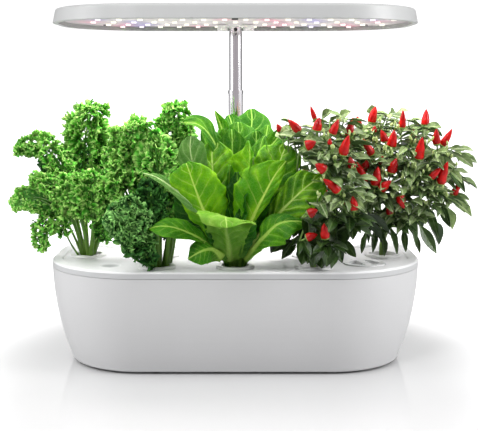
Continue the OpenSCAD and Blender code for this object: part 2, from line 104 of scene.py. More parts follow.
world = bpy.data.worlds.new("studio")
scene.world = world
world.use_nodes = True
wn = world.node_tree
wn.nodes.clear()


def wnode(kind, **kw):
    n = wn.nodes.new(kind)
    for k, v in kw.items():
        setattr(n, k, v)
    return n


w_out = wnode("ShaderNodeOutputWorld")
w_co = wnode("ShaderNodeTexCoord")
w_sep = wnode("ShaderNodeSeparateXYZ")
wn.links.new(w_co.outputs["Generated"], w_sep.inputs[0])
w_front = wnode("ShaderNodeMapRange", interpolation_type="SMOOTHSTEP")
w_front.inputs["From Min"].default_value = -0.95
w_front.inputs["From Max"].default_value = -0.05
w_front.inputs["To Min"].default_value = 0.12
w_front.inputs["To Max"].default_value = 0.8
wn.links.new(w_sep.outputs["Y"], w_front.inputs["Value"])
w_up = wnode("ShaderNodeMapRange", interpolation_type="SMOOTHSTEP")
w_up.inputs["From Min"].default_value = 0.1
w_up.inputs["From Max"].default_value = 0.9
w_up.inputs["To Min"].default_value = 0.0
w_up.inputs["To Max"].default_value = 0.25
wn.links.new(w_sep.outputs["Z"], w_up.inputs["Value"])
w_sum = wnode("ShaderNodeMath", operation="ADD")
wn.links.new(w_front.outputs[0], w_sum.inputs[0])
wn.links.new(w_up.outputs[0], w_sum.inputs[1])
w_light = wnode("ShaderNodeBackground")
w_light.inputs["Color"].default_value = (0.8, 0.8, 0.8, 1)
wn.links.new(w_sum.outputs[0], w_light.inputs["Strength"])
# what shiny parts see: white side panels between dark flags
w_ramp = wnode("ShaderNodeValToRGB")
w_half = wnode("ShaderNodeMath", operation="MULTIPLY_ADD")
w_half.inputs[1].default_value = 0.5
w_half.inputs[2].default_value = 0.5
wn.links.new(w_sep.outputs["Y"], w_half.inputs[0])
wn.links.new(w_half.outputs[0], w_ramp.inputs[0])
stops = [(0.0, (0.46, 0.43, 0.445)), (0.155, (0.5, 0.465, 0.48)), (0.2, (1.0, 1.0, 1.0)), (0.7, (1.0, 1.0, 1.0)),
         (0.75, (0.05, 0.048, 0.05)), (0.95, (0.05, 0.048, 0.05)), (0.975, (1.0, 1.0, 1.0))]
while len(w_ramp.color_ramp.elements) < len(stops):
    w_ramp.color_ramp.elements.new(0.5)
for e, (at, c) in zip(w_ramp.color_ramp.elements, stops):
    e.position = at
    e.color = c + (1,)
w_shiny = wnode("ShaderNodeBackground")
w_shiny.inputs["Strength"].default_value = 1.0
wn.links.new(w_ramp.outputs["Color"], w_shiny.inputs["Color"])
w_seen = wnode("ShaderNodeBackground")
w_seen.inputs["Color"].default_value = (1, 1, 1, 1)
w_seen.inputs["Strength"].default_value = 1.1
w_path = wnode("ShaderNodeLightPath")
w_mix = wnode("ShaderNodeMixShader")
wn.links.new(w_path.outputs["Is Camera Ray"], w_mix.inputs[0])
w_mix0 = wnode("ShaderNodeMixShader")
wn.links.new(w_path.outputs["Is Glossy Ray"], w_mix0.inputs[0])
wn.links.new(w_light.outputs[0], w_mix0.inputs[1])
wn.links.new(w_shiny.outputs[0], w_mix0.inputs[2])
wn.links.new(w_mix0.outputs[0], w_mix.inputs[1])
wn.links.new(w_seen.outputs[0], w_mix.inputs[2])
wn.links.new(w_mix.outputs[0], w_out.inputs["Surface"])


# ------------------------------------------------------------------ materials
def lin(r, g, b):
    """sRGB 0-255 to linear."""
    f = lambda c: c / 12.92 if c <= 0.04045 else ((c + 0.055) / 1.055) ** 2.4
    return (f(r / 255), f(g / 255), f(b / 255), 1)


class Mat:
    def __init__(self, name):
        self.m = bpy.data.materials.new(name)
        self.m.use_nodes = True
        self.t = self.m.node_tree
        self.t.nodes.clear()
        self.out = self.node("ShaderNodeOutputMaterial")
        self.p = self.node("ShaderNodeBsdfPrincipled")
        self.link(self.p.outputs[0], self.out.inputs["Surface"])

    def node(self, kind, **kw):
        n = self.t.nodes.new(kind)
        for k, v in kw.items():
            setattr(n, k, v)
        return n

    def link(self, a, b):
        self.t.links.new(a, b)

    def put(self, value, socket):
        if hasattr(value, "is_linked") or hasattr(value, "node"):
            self.link(value, socket)
        else:
            socket.default_value = value

    def set(self, **kw):
        names = {"colour": "Base Color", "rough": "Roughness", "metal": "Metallic", "coat": "Coat Weight",
                 "coat_rough": "Coat Roughness", "ior": "IOR", "spec": "Specular IOR Level", "normal": "Normal",
                 "emit": "Emission Color", "emit_power": "Emission Strength", "sheen": "Sheen Weight",
                 "sss": "Subsurface Weight", "sss_radius": "Subsurface Radius", "sss_scale": "Subsurface Scale",
                 "trans": "Transmission Weight"}
        for k, v in kw.items():
            self.put(v, self.p.inputs[names[k]])
        return self

    def math(self, op, a, b=0.0, c=None, clamp=False):
        n = self.node("ShaderNodeMath", operation=op, use_clamp=clamp)
        self.put(a, n.inputs[0])
        self.put(b, n.inputs[1])
        if c is not None:
            self.put(c, n.inputs[2])
        return n.outputs[0]

    def span(self, v, a, b, c=0.0, d=1.0, smooth=True):
        n = self.node("ShaderNodeMapRange", interpolation_type="SMOOTHSTEP" if smooth else "LINEAR")
        for s, x in zip(("Value", "From Min", "From Max", "To Min", "To Max"), (v, a, b, c, d)):
            self.put(x, n.inputs[s])
        return n.outputs[0]

    def mix(self, f, a, b, mode="MIX"):
        n = self.node("ShaderNodeMix", data_type="RGBA", blend_type=mode)
        self.put(f, n.inputs[0])
        self.put(a, n.inputs[6])
        self.put(b, n.inputs[7])
        return n.outputs[2]

    def where(self):
        return self.node("ShaderNodeTexCoord").outputs["Object"]

    def noise(self, scale, detail=3.0, rough=0.5, at=None, stretch=None, warp=0.0):
        n = self.node("ShaderNodeTexNoise")
        n.inputs["Scale"].default_value = scale
        n.inputs["Detail"].default_value = detail
        n.inputs["Roughness"].default_value = rough
        n.inputs["Distortion"].default_value = warp
        at = at or self.where()
        if stretch:
            mp = self.node("ShaderNodeMapping")
            mp.inputs["Scale"].default_value = stretch
            self.link(at, mp.inputs["Vector"])
            at = mp.outputs[0]
        self.link(at, n.inputs["Vector"])
        return n.outputs["Fac"]

    def cells(self, scale, feature="F1", at=None):
        n = self.node("ShaderNodeTexVoronoi", feature=feature)
        n.inputs["Scale"].default_value = scale
        self.link(at or self.where(), n.inputs["Vector"])
        return n.outputs["Distance"]

    def bump(self, height, strength=0.3, distance=0.001, after=None):
        n = self.node("ShaderNodeBump")
        n.inputs["Strength"].default_value = strength
        n.inputs["Distance"].default_value = distance
        self.link(height, n.inputs["Height"])
        if after is not None:
            self.link(after, n.inputs["Normal"])
        return n.outputs[0]

    def attr(self, name):
        a = self.node("ShaderNodeAttribute", attribute_name=name)
        s = self.node("ShaderNodeSeparateXYZ")
        self.link(a.outputs["Vector"], s.inputs[0])
        return s.outputs[0], s.outputs[1], s.outputs[2]

    def through(self, colour, amount):
        """Part of the light passes through, as in a leaf."""
        tr = self.node("ShaderNodeBsdfTranslucent")
        self.put(colour, tr.inputs["Color"])
        mx = self.node("ShaderNodeMixShader")
        self.put(amount, mx.inputs[0])
        self.link(self.p.outputs[0], mx.inputs[1])
        self.link(tr.outputs[0], mx.inputs[2])
        self.link(mx.outputs[0], self.out.inputs["Surface"])
        return self


def plastic(name, colour, rough=0.42, grain=2600, grain_h=0.00004, shift=0.03, sss=0.0, side=None):
    """Moulded plastic: fine tooled grain, faint flow clouds, roughness that wanders."""
    m = Mat(name)
    cloud = m.noise(14, 3, 0.55)
    c2 = tuple(max(0, c * (1 - shift)) for c in colour[:3]) + (1,)
    col = m.mix(m.span(cloud, 0.35, 0.65), colour, c2)
    # painted shade: below z 109.2 mm the colour turns to side, a darker copy of the same white plastic for the weakly
    # lit skirt; above 110.6 mm it keeps the lighter top colour
    if side:
        height = m.node("ShaderNodeSeparateXYZ")
        m.link(m.where(), height.inputs[0])
        col = m.mix(m.span(height.outputs[2], 0.1092, 0.1106, 1, 0), col, side)
    m.set(colour=col)
    m.set(rough=m.span(m.noise(90, 4, 0.6), 0.3, 0.7, rough - 0.05, rough + 0.05))
    fine = m.noise(grain, 2, 0.6)
    m.set(normal=m.bump(fine, 0.35, grain_h), ior=1.48)
    if sss:
        m.set(sss=sss, sss_radius=(0.004, 0.004, 0.005), sss_scale=1.0)
    return m.m


M = {}
M["casing"] = plastic("casing_plastic", lin(206, 206, 207), 0.36, 2400, 0.00003, 0.012)
# deck: the casing's white plastic painted lighter on its top (painted light) and darker on its skirt (painted shade)
M["deck"] = plastic("deck_plastic", lin(238, 238, 239), 0.34, 2200, 0.00003, 0.012, side=lin(194, 195, 196))
M["lamp"] = plastic("lamp_plastic", lin(184, 185, 185), 0.38, 2400, 0.00003, 0.012)
M["cap"] = plastic("cap_plastic", lin(240, 240, 241), 0.3, 2200, 0.00003, 0.015)
M["basket"] = plastic("basket_plastic", lin(236, 236, 235), 0.32, 2000, 0.00003, 0.02)
M["cover"] = plastic("cover_plastic", lin(205, 205, 206), 0.5, 1600, 0.00008, 0.04)
M["tank"] = plastic("tank_plastic", lin(222, 226, 230), 0.22, 2600, 0.00002, 0.03)
M["black_plastic"] = plastic("black_plastic", lin(34, 34, 36), 0.42, 1900, 0.00007, 0.15)
M["pump"] = plastic("pump_plastic", lin(48, 49, 53), 0.5, 1500, 0.0001, 0.15)
M["socket"] = plastic("socket_plastic", lin(222, 222, 224), 0.35, 2400, 0.00003, 0.03)
M["float"] = plastic("float_plastic", lin(120, 120, 124), 0.35, 1800, 0.00005, 0.08)
M["lead"] = plastic("lead_jacket", lin(30, 30, 31), 0.55, 1400, 0.00006, 0.2)
M["magnet"] = plastic("magnet_block", lin(62, 62, 66), 0.38, 900, 0.0001, 0.2)
M["shaft"] = plastic("ceramic_shaft", lin(236, 234, 226), 0.18, 3000, 0.00001, 0.03)

# translucent bracket under the lamp
m = Mat("bracket_plastic")
m.set(colour=m.mix(m.noise(60, 3), lin(246, 244, 243), lin(232, 230, 229)), rough=m.span(m.noise(200, 3), 0.3, 0.7, 0.25, 0.38),
      ior=1.5, sss=0.35, sss_radius=(0.003, 0.003, 0.003), sss_scale=1.0)
M["bracket"] = m.m

# foot rubber
m = Mat("foot_rubber")
m.set(colour=m.mix(m.noise(300, 4), lin(44, 44, 46), lin(60, 60, 61)), rough=0.85,
      normal=m.bump(m.noise(2200, 3), 0.5, 0.0002), sheen=0.15)
M["rubber"] = m.m

# push button
m = Mat("button_plastic")
m.set(colour=m.mix(m.noise(500, 3), lin(26, 26, 28), lin(40, 40, 42)), rough=0.4, normal=m.bump(m.noise(2500, 2), 0.3, 0.00005))
M["button"] = m.m

# drawn and plated tube: fine lengthways drawing lines, dark towards the edges
m = Mat("chrome_tube")
lines = m.noise(900, 2, 0.5, stretch=(1, 1, 0.012))
body = m.mix(m.span(lines, 0.3, 0.7), lin(238, 236, 239), lin(224, 222, 226))
m.set(colour=body, metal=1.0, rough=m.span(lines, 0.3, 0.7, 0.07, 0.13), normal=m.bump(lines, 0.08, 0.0001))
M["chrome"] = m.m
M["collar"] = m.m

# screws: turned metal
m = Mat("screw_steel")
m.set(colour=m.mix(m.noise(800, 3), lin(176, 176, 180), lin(140, 140, 146)), metal=1.0, rough=m.span(m.noise(1500, 2), 0.3, 0.7, 0.22, 0.36))
M["screw"] = m.m

# circuit boards
m = Mat("board_green")
tracks = m.cells(420, "DISTANCE_TO_EDGE")
m.set(colour=m.mix(m.span(tracks, 0.02, 0.06, 1, 0), lin(14, 78, 44), lin(38, 116, 66)), rough=0.35, coat=0.4)
M["board"] = m.m

# open-cell filter foam
m = Mat("filter_foam")
pore = m.cells(900)
m.set(colour=m.mix(m.span(pore, 0.2, 0.7), lin(14, 14, 15), lin(44, 44, 46)), rough=0.95, normal=m.bump(pore, 0.9, 0.0006))
M["foam"] = m.m

# growing sponge: fibrous and dark, with specks
m = Mat("sponge_peat")
crumb = m.cells(620)
speck = m.span(m.noise(1400, 4, 0.7), 0.64, 0.7)
col = m.mix(m.span(crumb, 0.1, 0.8), lin(26, 20, 13), lin(66, 50, 34))
m.set(colour=m.mix(speck, col, lin(150, 140, 118)), rough=0.92, normal=m.bump(m.noise(900, 6, 0.75), 0.9, 0.001))
M["sponge"] = m.m

m = Mat("perlite")
m.set(colour=m.mix(m.noise(900, 4), lin(240, 240, 236), lin(205, 204, 196)), rough=0.8, normal=m.bump(m.cells(1500), 0.6, 0.0003))
M["perlite"] = m.m

# ------------------------------------------------------------------ lamp's light
LED_ROWS = [-82, -37, 8, 53, 97]
RED_AT = [(0, 3), (0, 9), (1, 6), (1, 8), (2, 0), (2, 9), (2, 14), (3, 1), (3, 9), (3, 12), (4, 1), (4, 5), (4, 9), (4, 13)]
BLUE_AT = [(0, 5), (0, 12), (1, 0), (1, 10), (1, 13), (2, 2), (2, 11), (3, 2), (4, 2), (4, 11)]


def led_x(r, i):
    return (i - 7) * 22.4 + (r % 2) * 11.2


m = Mat("led_board_white")
co = m.where()
sx = m.node("ShaderNodeSeparateXYZ")
m.link(co, sx.inputs[0])
X, Y = sx.outputs[0], sx.outputs[1]


def halo(m, spots, reach, flat=0.45):
    """Sum of soft round painted glows about the chips, in the board's own plane."""
    total = None
    for r, i in spots:
        dx = m.math("SUBTRACT", X, led_x(r, i) / 1000)
        dy = m.math("MULTIPLY", m.math("SUBTRACT", Y, LED_ROWS[r] / 1000), flat)
        d2 = m.math("ADD", m.math("MULTIPLY", dx, dx), m.math("MULTIPLY", dy, dy))
        g = m.math("POWER", 2.718, m.math("MULTIPLY", d2, -1 / (reach / 1000) ** 2))
        total = g if total is None else m.math("ADD", total, g)
    return total


# painted light: red, blue and white halos round the chips, standing in for their glare on the board
red_glow = halo(m, RED_AT, 17)
blue_glow = halo(m, BLUE_AT, 16)
WHITE_AT = [(r, i) for r in range(5) for i in range(15) if (r, i) not in RED_AT and (r, i) not in BLUE_AT
            and abs(led_x(r, i)) < (140 if r == 4 else 158 if r == 0 else 170) and not (r == 3 and abs(led_x(r, i)) < 30)]
white_glow = halo(m, WHITE_AT, 12)
foil = m.mix(m.noise(70, 4, 0.6), lin(156, 150, 153), lin(140, 135, 138))
# painted shadow: a dark band along the board's far edge (y above 100 mm), where the recess wall shades it; the painted
# glow is dimmed there too
recess_shadow = m.span(Y, 0.100, 0.108)
foil = m.mix(recess_shadow, foil, lin(84, 78, 74))
m.set(colour=foil, rough=0.35, ior=1.5, normal=m.bump(m.noise(1200, 2), 0.2, 0.00005))
# painted light: the whole board glows, tinted and brighter round the chips
e1 = m.mix(m.math("MULTIPLY", red_glow, 0.8, clamp=True), lin(172, 166, 168), lin(250, 112, 156))
e2 = m.mix(m.math("MULTIPLY", blue_glow, 0.8, clamp=True), e1, lin(128, 112, 226))
e3 = m.mix(m.math("MULTIPLY", white_glow, 0.75, clamp=True), e2, lin(255, 250, 240))
# patchy darker spots in the painted glow
shade = m.noise(52, 3, 0.7, stretch=(1, 0.5, 1))
e3 = m.mix(m.span(shade, 0.42, 0.62, 0.5, 0.0), e3, lin(112, 100, 104))
m.set(emit=e3, emit_power=m.span(recess_shadow, 0.0, 1.0, 0.5, 0.05))
M["led_board"] = m.m


def chip(name, colour, power):
    m = Mat(name)
    core = m.cells(260, "F1")
    m.set(colour=lin(240, 232, 200), rough=0.3, emit=m.mix(m.span(core, 0.2, 0.9), colour, tuple(c * 0.8 for c in colour[:3]) + (1,)),
          emit_power=power)
    return m.m


M["led_white"] = chip("led_white_chip", (1.0, 0.97, 0.9, 1), 0.95)
M["led_red"] = chip("led_red_chip", (1.0, 0.7, 0.82, 1), 1.15)
M["led_blue"] = chip("led_blue_chip", (0.76, 0.72, 1.0, 1), 1.15)

slot_of = {s["node"]: s["material_slot"] for s in frame["record"]["subparts"]}
for name, obj in frame["nodes"].items():
    mat = M.get(slot_of.get(name))
    if mat is None:
        continue
    if obj.material_slots:
        for s in obj.material_slots:
            s.material = mat
    else:
        obj.data.materials.append(mat)


# ------------------------------------------------------------------ mesh kit
def crom(points, n):
    """Smooth line through points, n even steps."""
    p = np.asarray(points, float)
    q = np.vstack([2 * p[0] - p[1], p, 2 * p[-1] - p[-2]])
    t = np.linspace(0, 1, 24, endpoint=False)[:, None]
    out = []
    for i in range(1, len(q) - 2):
        a, b, c, d = q[i - 1], q[i], q[i + 1], q[i + 2]
        out.append(0.5 * (2 * b + (c - a) * t + (2 * a - 5 * b + 4 * c - d) * t ** 2 + (-a + 3 * b - 3 * c + d) * t ** 3))
    out.append(p[-1:])
    line = np.vstack(out)
    s = np.r_[0, np.cumsum(np.linalg.norm(np.diff(line, axis=0), axis=1))]
    e = np.linspace(0, s[-1], n)
    return np.stack([np.interp(e, s, line[:, k]) for k in range(line.shape[1])], 1), s[-1]


def norm(v):
    return v / np.maximum(np.linalg.norm(v, axis=-1, keepdims=True), 1e-9)


def axes_along(c, hint):
    t = norm(np.gradient(c, axis=0))
    n = norm(hint - (hint * t).sum(-1, keepdims=True) * t)
    return t, n, np.cross(t, n)


def spread_hint(hint, n):
    h = np.asarray(hint, float)
    if h.ndim == 1:
        return np.tile(h, (n, 1))
    x = np.linspace(0, 1, len(h))
    e = np.linspace(0, 1, n)
    return np.stack([np.interp(e, x, h[:, k]) for k in range(3)], 1)


class Bag:
    """Collects grids into one mesh."""

    def __init__(self):
        self.v, self.q, self.t, self.a, self.b, self.n = [], [], [], [], [], 0

    def add(self, v, quads, tris, a, b):
        self.v.append(v)
        self.a.append(np.broadcast_to(a, v.shape).copy())
        self.b.append(np.broadcast_to(b, v.shape).copy())
        if len(quads):
            self.q.append(np.asarray(quads, np.int64) + self.n)
        if len(tris):
            self.t.append(np.asarray(tris, np.int64) + self.n)
        self.n += len(v)

    def sheet(self, g, front, back, a, b):
        """A closed thin shell about a grid g (nu, nv, 3). a, b: (nu, nv, 3) attributes; b's first entry becomes the side."""
        nu, nv = g.shape[:2]
        du = np.gradient(g, axis=0)
        dv = np.gradient(g, axis=1)
        n = norm(np.cross(dv, du))
        top = g + n * np.broadcast_to(front, (nu, nv))[..., None]
        bot = g - n * np.broadcast_to(back, (nu, nv))[..., None]
        k = np.arange(nu * nv).reshape(nu, nv)
        m = nu * nv
        f = np.stack([k[:-1, :-1], k[:-1, 1:], k[1:, 1:], k[1:, :-1]], -1).reshape(-1, 4)
        back_f = f[:, ::-1] + m
        ring = np.concatenate([k[0, :-1], k[:-1, -1], k[-1, :0:-1], k[:0:-1, 0]])
        nxt = np.roll(ring, -1)
        rim = np.stack([ring, ring + m, nxt + m, nxt], -1)
        bb = np.broadcast_to(b, g.shape)
        bf, bk = bb.copy(), bb.copy()
        bf[..., 0], bk[..., 0] = 0, 1
        aa = np.broadcast_to(a, g.shape)
        self.add(np.concatenate([top.reshape(-1, 3), bot.reshape(-1, 3)]), np.concatenate([f, back_f, rim]), [],
                 np.concatenate([aa.reshape(-1, 3)] * 2), np.concatenate([bf.reshape(-1, 3), bk.reshape(-1, 3)]))

    def tube(self, c, r, k=8, hint=(0.31, 0.2, 0.93), squash=1.0, a=(0, 0, 0), b=(0, 0, 0), ridges=0.0):
        c = np.asarray(c, float)
        n = len(c)
        r = np.broadcast_to(r, n)
        t = norm(np.gradient(c, axis=0))
        h = np.array(hint, float)
        u = norm(np.cross(t, h))
        w = np.cross(t, u)
        th = np.arange(k) * 2 * math.pi / k
        rr = r[:, None] * (1 + ridges * np.cos(th * 4)[None])
        v = c[:, None] + rr[..., None] * (np.cos(th)[None, :, None] * u[:, None] + squash * np.sin(th)[None, :, None] * w[:, None])
        v = v.reshape(-1, 3)
        i = np.arange(n * k).reshape(n, k)
        j = np.roll(i, -1, axis=1)
        q = np.stack([i[:-1], j[:-1], j[1:], i[1:]], -1).reshape(-1, 4)
        ends = np.array([c[0] - t[0] * r[0] * 0.3, c[-1] + t[-1] * r[-1] * 0.5])
        lo, hi = n * k, n * k + 1
        tris = np.concatenate([np.stack([j[0], i[0], np.full(k, lo)], -1), np.stack([i[-1], j[-1], np.full(k, hi)], -1)])
        al = np.repeat(np.linspace(0, 1, n), k)
        aa = np.zeros((n * k + 2, 3)) + np.asarray(a, float)
        aa[:n * k, 0] = al
        aa[-1, 0] = 1
        self.add(np.vstack([v, ends]), q, tris, aa, np.asarray(b, float))

    def make(self, name, mat, body, slot=None, replaces=()):
        v = np.vstack(self.v) / 1000
        q = np.concatenate(self.q) if self.q else np.zeros((0, 4), int)
        t = np.concatenate(self.t) if self.t else np.zeros((0, 3), int)
        me = bpy.data.meshes.new(name)
        me.vertices.add(len(v))
        me.vertices.foreach_set("co", v.astype(np.float32).ravel())
        loops = np.concatenate([q.ravel(), t.ravel()]).astype(np.int32)
        me.loops.add(len(loops))
        me.loops.foreach_set("vertex_index", loops)
        starts = np.concatenate([np.arange(len(q)) * 4, len(q) * 4 + np.arange(len(t)) * 3]).astype(np.int32)
        me.polygons.add(len(starts))
        me.polygons.foreach_set("loop_start", starts)
        me.polygons.foreach_set("use_smooth", np.ones(len(starts), bool))
        me.update(calc_edges=True)
        for nm, arr in (("leaf_a", self.a), ("leaf_b", self.b)):
            at = me.attributes.new(nm, "FLOAT_VECTOR", "POINT")
            at.data.foreach_set("vector", np.vstack(arr).astype(np.float32).ravel())
        me.validate()
        me.materials.append(mat)
        o = bpy.data.objects.new(name, me)
        scene.collection.objects.link(o)
        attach(o, body)
        if replaces:
            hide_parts(*replaces)
        return o


def v_steps(n, rib=True):
    """Across-leaf stations from -1 to 1, closer at the rib and at the margin."""
    h = np.linspace(0, 1, n // 2 + 1)
    h = h ** 0.9
    h = np.sort(np.concatenate([h, [0.035, 0.985]]))
    return np.concatenate([-h[:0:-1], h])


def blade(bag, path, hint, half, rng, nu=56, nv=22, u0=0.75, cup=0.3, fold=0.05, wave=(2.0, 3.0), pucker=0.6, veins=9.0,
          slope=0.2, rib=(2.0, 1.4), thick=0.5, tone=0.0, round_base=0.0, vpow=1.0):
    """One leaf. path: (k, 3) mm; hint: upper face's direction, one or several along the leaf; half: (u, left, right) in mm;
    left and right are as seen looking at the upper face with the tip up."""
    c, length = crom(path, nu)
    u = np.linspace(0, 1, nu)
    t, n, s = axes_along(c, spread_hint(hint, nu))
    half = np.asarray(half, float)
    capf = np.where(u > u0, np.sqrt(np.clip(1 - ((u - u0) / (1 - u0)) ** 2, 0, 1)), 1)
    wl = np.interp(u, half[:, 0], half[:, 1]) * capf + 0.3
    wr = np.interp(u, half[:, 0], half[:, 2]) * capf + 0.3
    k = np.ones(5) / 5
    if nu > 20:
        wl = np.convolve(np.pad(wl, 2, mode="edge"), k, "valid")
        wr = np.convolve(np.pad(wr, 2, mode="edge"), k, "valid")
    v = v_steps(nv)
    V, U = v[None, :], u[:, None]
    A = np.abs(V)
    side = np.sign(V)
    W = np.where(V < 0, wl[:, None], wr[:, None])
    a = max(abs(cup), 1e-3)
    lat = W * np.sin(a * A) / a * side
    nor = np.sign(cup) * W * (1 - np.cos(a * A)) / a + fold * W * A
    ph = rng.uniform(0, 2 * math.pi, 6)
    edge = A ** 2.4
    grow = np.clip((U - 0.12) * 4, 0, 1)
    amp, nw = wave
    nor = nor + amp * edge * grow * (np.sin(2 * math.pi * nw * U + ph[0] + side * 1.3) + 0.45 * np.sin(2 * math.pi * 2.3 * nw * U + ph[1] - side * 0.8))
    lat = lat * (1 + 0.035 * edge * np.sin(2 * math.pi * 1.7 * nw * U + ph[2]) + 0.02 * edge * np.sin(2 * math.pi * 4.1 * nw * U + ph[3]))
    q = veins * (U - slope * A ** vpow)
    blister = np.abs(np.sin(math.pi * q)) ** 0.7 * np.clip(A * 3, 0, 1) * (1 - A ** 8)
    cells = np.abs(np.sin(math.pi * (A * 3.4 + 0.4 * np.floor(q)))) ** 0.8
    nor = nor + pucker * (blister * (0.55 + 0.6 * cells * (nu > 20)) - 0.5) * grow * (1 - 0.45 * U)
    g = c[:, None] + lat[..., None] * s[:, None] + nor[..., None] * n[:, None]
    rib_h = rib[0] * (1 - U) ** 0.8 * np.exp(-(lat / (rib[1] + 2.5 * (1 - U) ** 2)) ** 2)
    thin = 0.5 * thick * (1 - 0.6 * A ** 6)
    att_a = np.stack([U + 0 * V, V + 0 * U, np.full((nu, v.size), rng.uniform())], -1)
    att_b = np.stack([0 * lat, np.abs(lat), np.full((nu, v.size), tone)], -1)
    bag.sheet(g, thin + 0.25 * rib_h * 0, thin + rib_h, att_a, att_b)
    return c


# ------------------------------------------------------------------ leaf materials
def lettuce(name, dark, light, flesh, back, relief=0.5):
    """Romaine: pale midrib, branching side veins, fine net, blistered gloss."""
    m = Mat(name)
    u, v, rnd = m.attr("leaf_a")
    side, off, tone = m.attr("leaf_b")
    wob = m.math("MULTIPLY", m.math("SUBTRACT", m.noise(45, 3), 0.5), 0.09)
    av = m.math("ABSOLUTE", v)
    uu = m.math("ADD", u, wob)
    q = m.math("MULTIPLY", m.math("SUBTRACT", uu, m.math("MULTIPLY", av, 0.2)), 9.0)
    tri = m.math("ABSOLUTE", m.math("SUBTRACT", m.math("FRACT", q), 0.5))
    vein = m.span(tri, 0.40, 0.5)
    vein = m.math("MULTIPLY", vein, m.span(av, 0.05, 0.95, 1.0, 0.25))
    # painted shade: the blade midway between the veins is painted darker, standing in for the shading of the blisters;
    # relief sets how much
    vein_gap_shade = m.math("MULTIPLY", m.span(tri, 0.12, 0.42, 1, 0), m.span(av, 0.05, 0.3))
    net = m.span(m.cells(330, "DISTANCE_TO_EDGE"), 0.0, 0.09, 1, 0)
    ribw = m.math("ADD", m.math("MULTIPLY", m.math("POWER", m.math("SUBTRACT", 1.0, u), 1.6), 0.0034), 0.0006)
    ratio = m.math("DIVIDE", m.math("MULTIPLY", off, 0.001), ribw)
    rib = m.span(ratio, 0.55, 1.25, 1, 0)
    mott = m.noise(38, 5, 0.6)
    col = m.mix(m.span(mott, 0.34, 0.68), dark, light)
    col = m.mix(m.math("MULTIPLY", rnd, 0.2), col, light)
    col = m.mix(m.math("MULTIPLY", vein_gap_shade, relief), col, dark)
    col = m.mix(m.span(u, 0.0, 0.34, 0.38, 0.0), col, flesh)
    col = m.mix(m.math("MULTIPLY", net, 0.14), col, flesh)
    col = m.mix(m.math("MULTIPLY", vein, relief + 0.08), col, flesh)
    # a bump noise that also paints its hollows darker (painted shade) and its rises lighter (painted highlight)
    quilt_bump_and_shade = m.noise(150, 3, 0.6)
    col = m.mix(m.span(quilt_bump_and_shade, 0.38, 0.56, 0.3, 0.0), col, dark)
    col = m.mix(m.span(quilt_bump_and_shade, 0.54, 0.72, 0.0, 0.2), col, light)
    col = m.mix(m.span(av, 0.88, 1.0, 0, 0.5), col, light)
    col = m.mix(m.math("MULTIPLY", rib, 0.85), col, flesh)
    colb = m.mix(0.55, col, back)
    col = m.mix(side, col, colb)
    col = m.mix(tone, col, (1, 1, 1, 1), "MIX")
    h = m.math("ADD", m.math("MULTIPLY", vein, -0.6), m.math("MULTIPLY", net, -0.25))
    nrm = m.bump(h, 0.75, 0.0011)
    nrm = m.bump(quilt_bump_and_shade, 0.55, 0.0022, nrm)
    m.set(colour=col, rough=m.span(m.noise(120, 3), 0.3, 0.7, 0.3, 0.44), spec=0.22, normal=nrm)
    m.through(m.mix(0.5, col, light), m.span(rib, 0, 1, 0.3, 0.12))
    return m.m


# lit copy: painted lighter, for the front leaves
M["rom_bright"] = lettuce("romaine_bright", lin(64, 148, 2), lin(156, 220, 12), lin(204, 234, 104), lin(96, 160, 34))
M["rom_mid"] = lettuce("romaine_mid", lin(40, 116, 6), lin(104, 178, 16), lin(176, 216, 92), lin(84, 148, 34))
# lit copy: painted lighter for leaves that the lights leave dim, with more painted shade between the veins
M["rom_quilt"] = lettuce("romaine_lit_strong_shade", lin(44, 120, 4), lin(166, 234, 30), lin(214, 242, 128), lin(94, 158, 38), 0.75)
# shaded copy: painted darker for the top leaves, which the lamp's light would wash out
M["rom_upper"] = lettuce("romaine_top_shaded", lin(32, 104, 6), lin(90, 158, 22), lin(158, 206, 84), lin(70, 132, 30))
# darker copy, for the inner and lowest leaves
M["rom_dark"] = lettuce("romaine_dark", lin(14, 72, 4), lin(50, 130, 12), lin(132, 188, 66), lin(50, 108, 24))
M["rom_pale"] = lettuce("romaine_pale", lin(84, 150, 40), lin(160, 206, 100), lin(206, 230, 158), lin(150, 194, 104))
M["rom_soft"] = lettuce("romaine_soft", lin(66, 126, 40), lin(132, 182, 88), lin(196, 222, 150), lin(120, 168, 84))
M["rom_flap"] = lettuce("romaine_flap", lin(104, 170, 30), lin(166, 212, 84), lin(188, 222, 110), lin(56, 118, 8))


def kale_mat(name, deep, mid, crest, vein_c):
    m = Mat(name)
    r, w, rnd = m.attr("leaf_a")
    side, rim, tone = m.attr("leaf_b")
    mott = m.noise(70, 4, 0.6)
    # painted shade: each lobe darker toward its base, in the gaps near the rib
    col = m.mix(m.span(r, 0.34, 0.84), deep, mid)
    # painted highlight: the outer crests of the ruffles painted toward the crest colour
    col = m.mix(m.math("MULTIPLY", m.span(r, 0.64, 0.92), m.span(w, -0.7, 0.5)), col, crest)
    col = m.mix(m.math("MULTIPLY", m.span(mott, 0.35, 0.7), 0.25), col, mid)
    col = m.mix(m.math("MULTIPLY", m.span(r, 0.0, 0.14, 1, 0), 0.3), col, vein_c)
    # painted light and shade by layer: tone above 0 paints a lobe toward the crest colour, below 0 toward the deep
    # colour
    col = m.mix(m.math("MAXIMUM", tone, 0.0), col, crest)
    col = m.mix(m.math("MAXIMUM", m.math("MULTIPLY", tone, -1.0), 0.0), col, deep)
    col = m.mix(m.math("MULTIPLY", side, 0.22), col, vein_c)
    nrm = m.bump(m.noise(420, 4, 0.6), 0.5, 0.0006)
    m.set(colour=col, rough=m.span(m.noise(200, 3), 0.3, 0.7, 0.36, 0.52), spec=0.15, normal=nrm)
    m.through(m.mix(0.5, col, crest), 0.22)
    return m.m


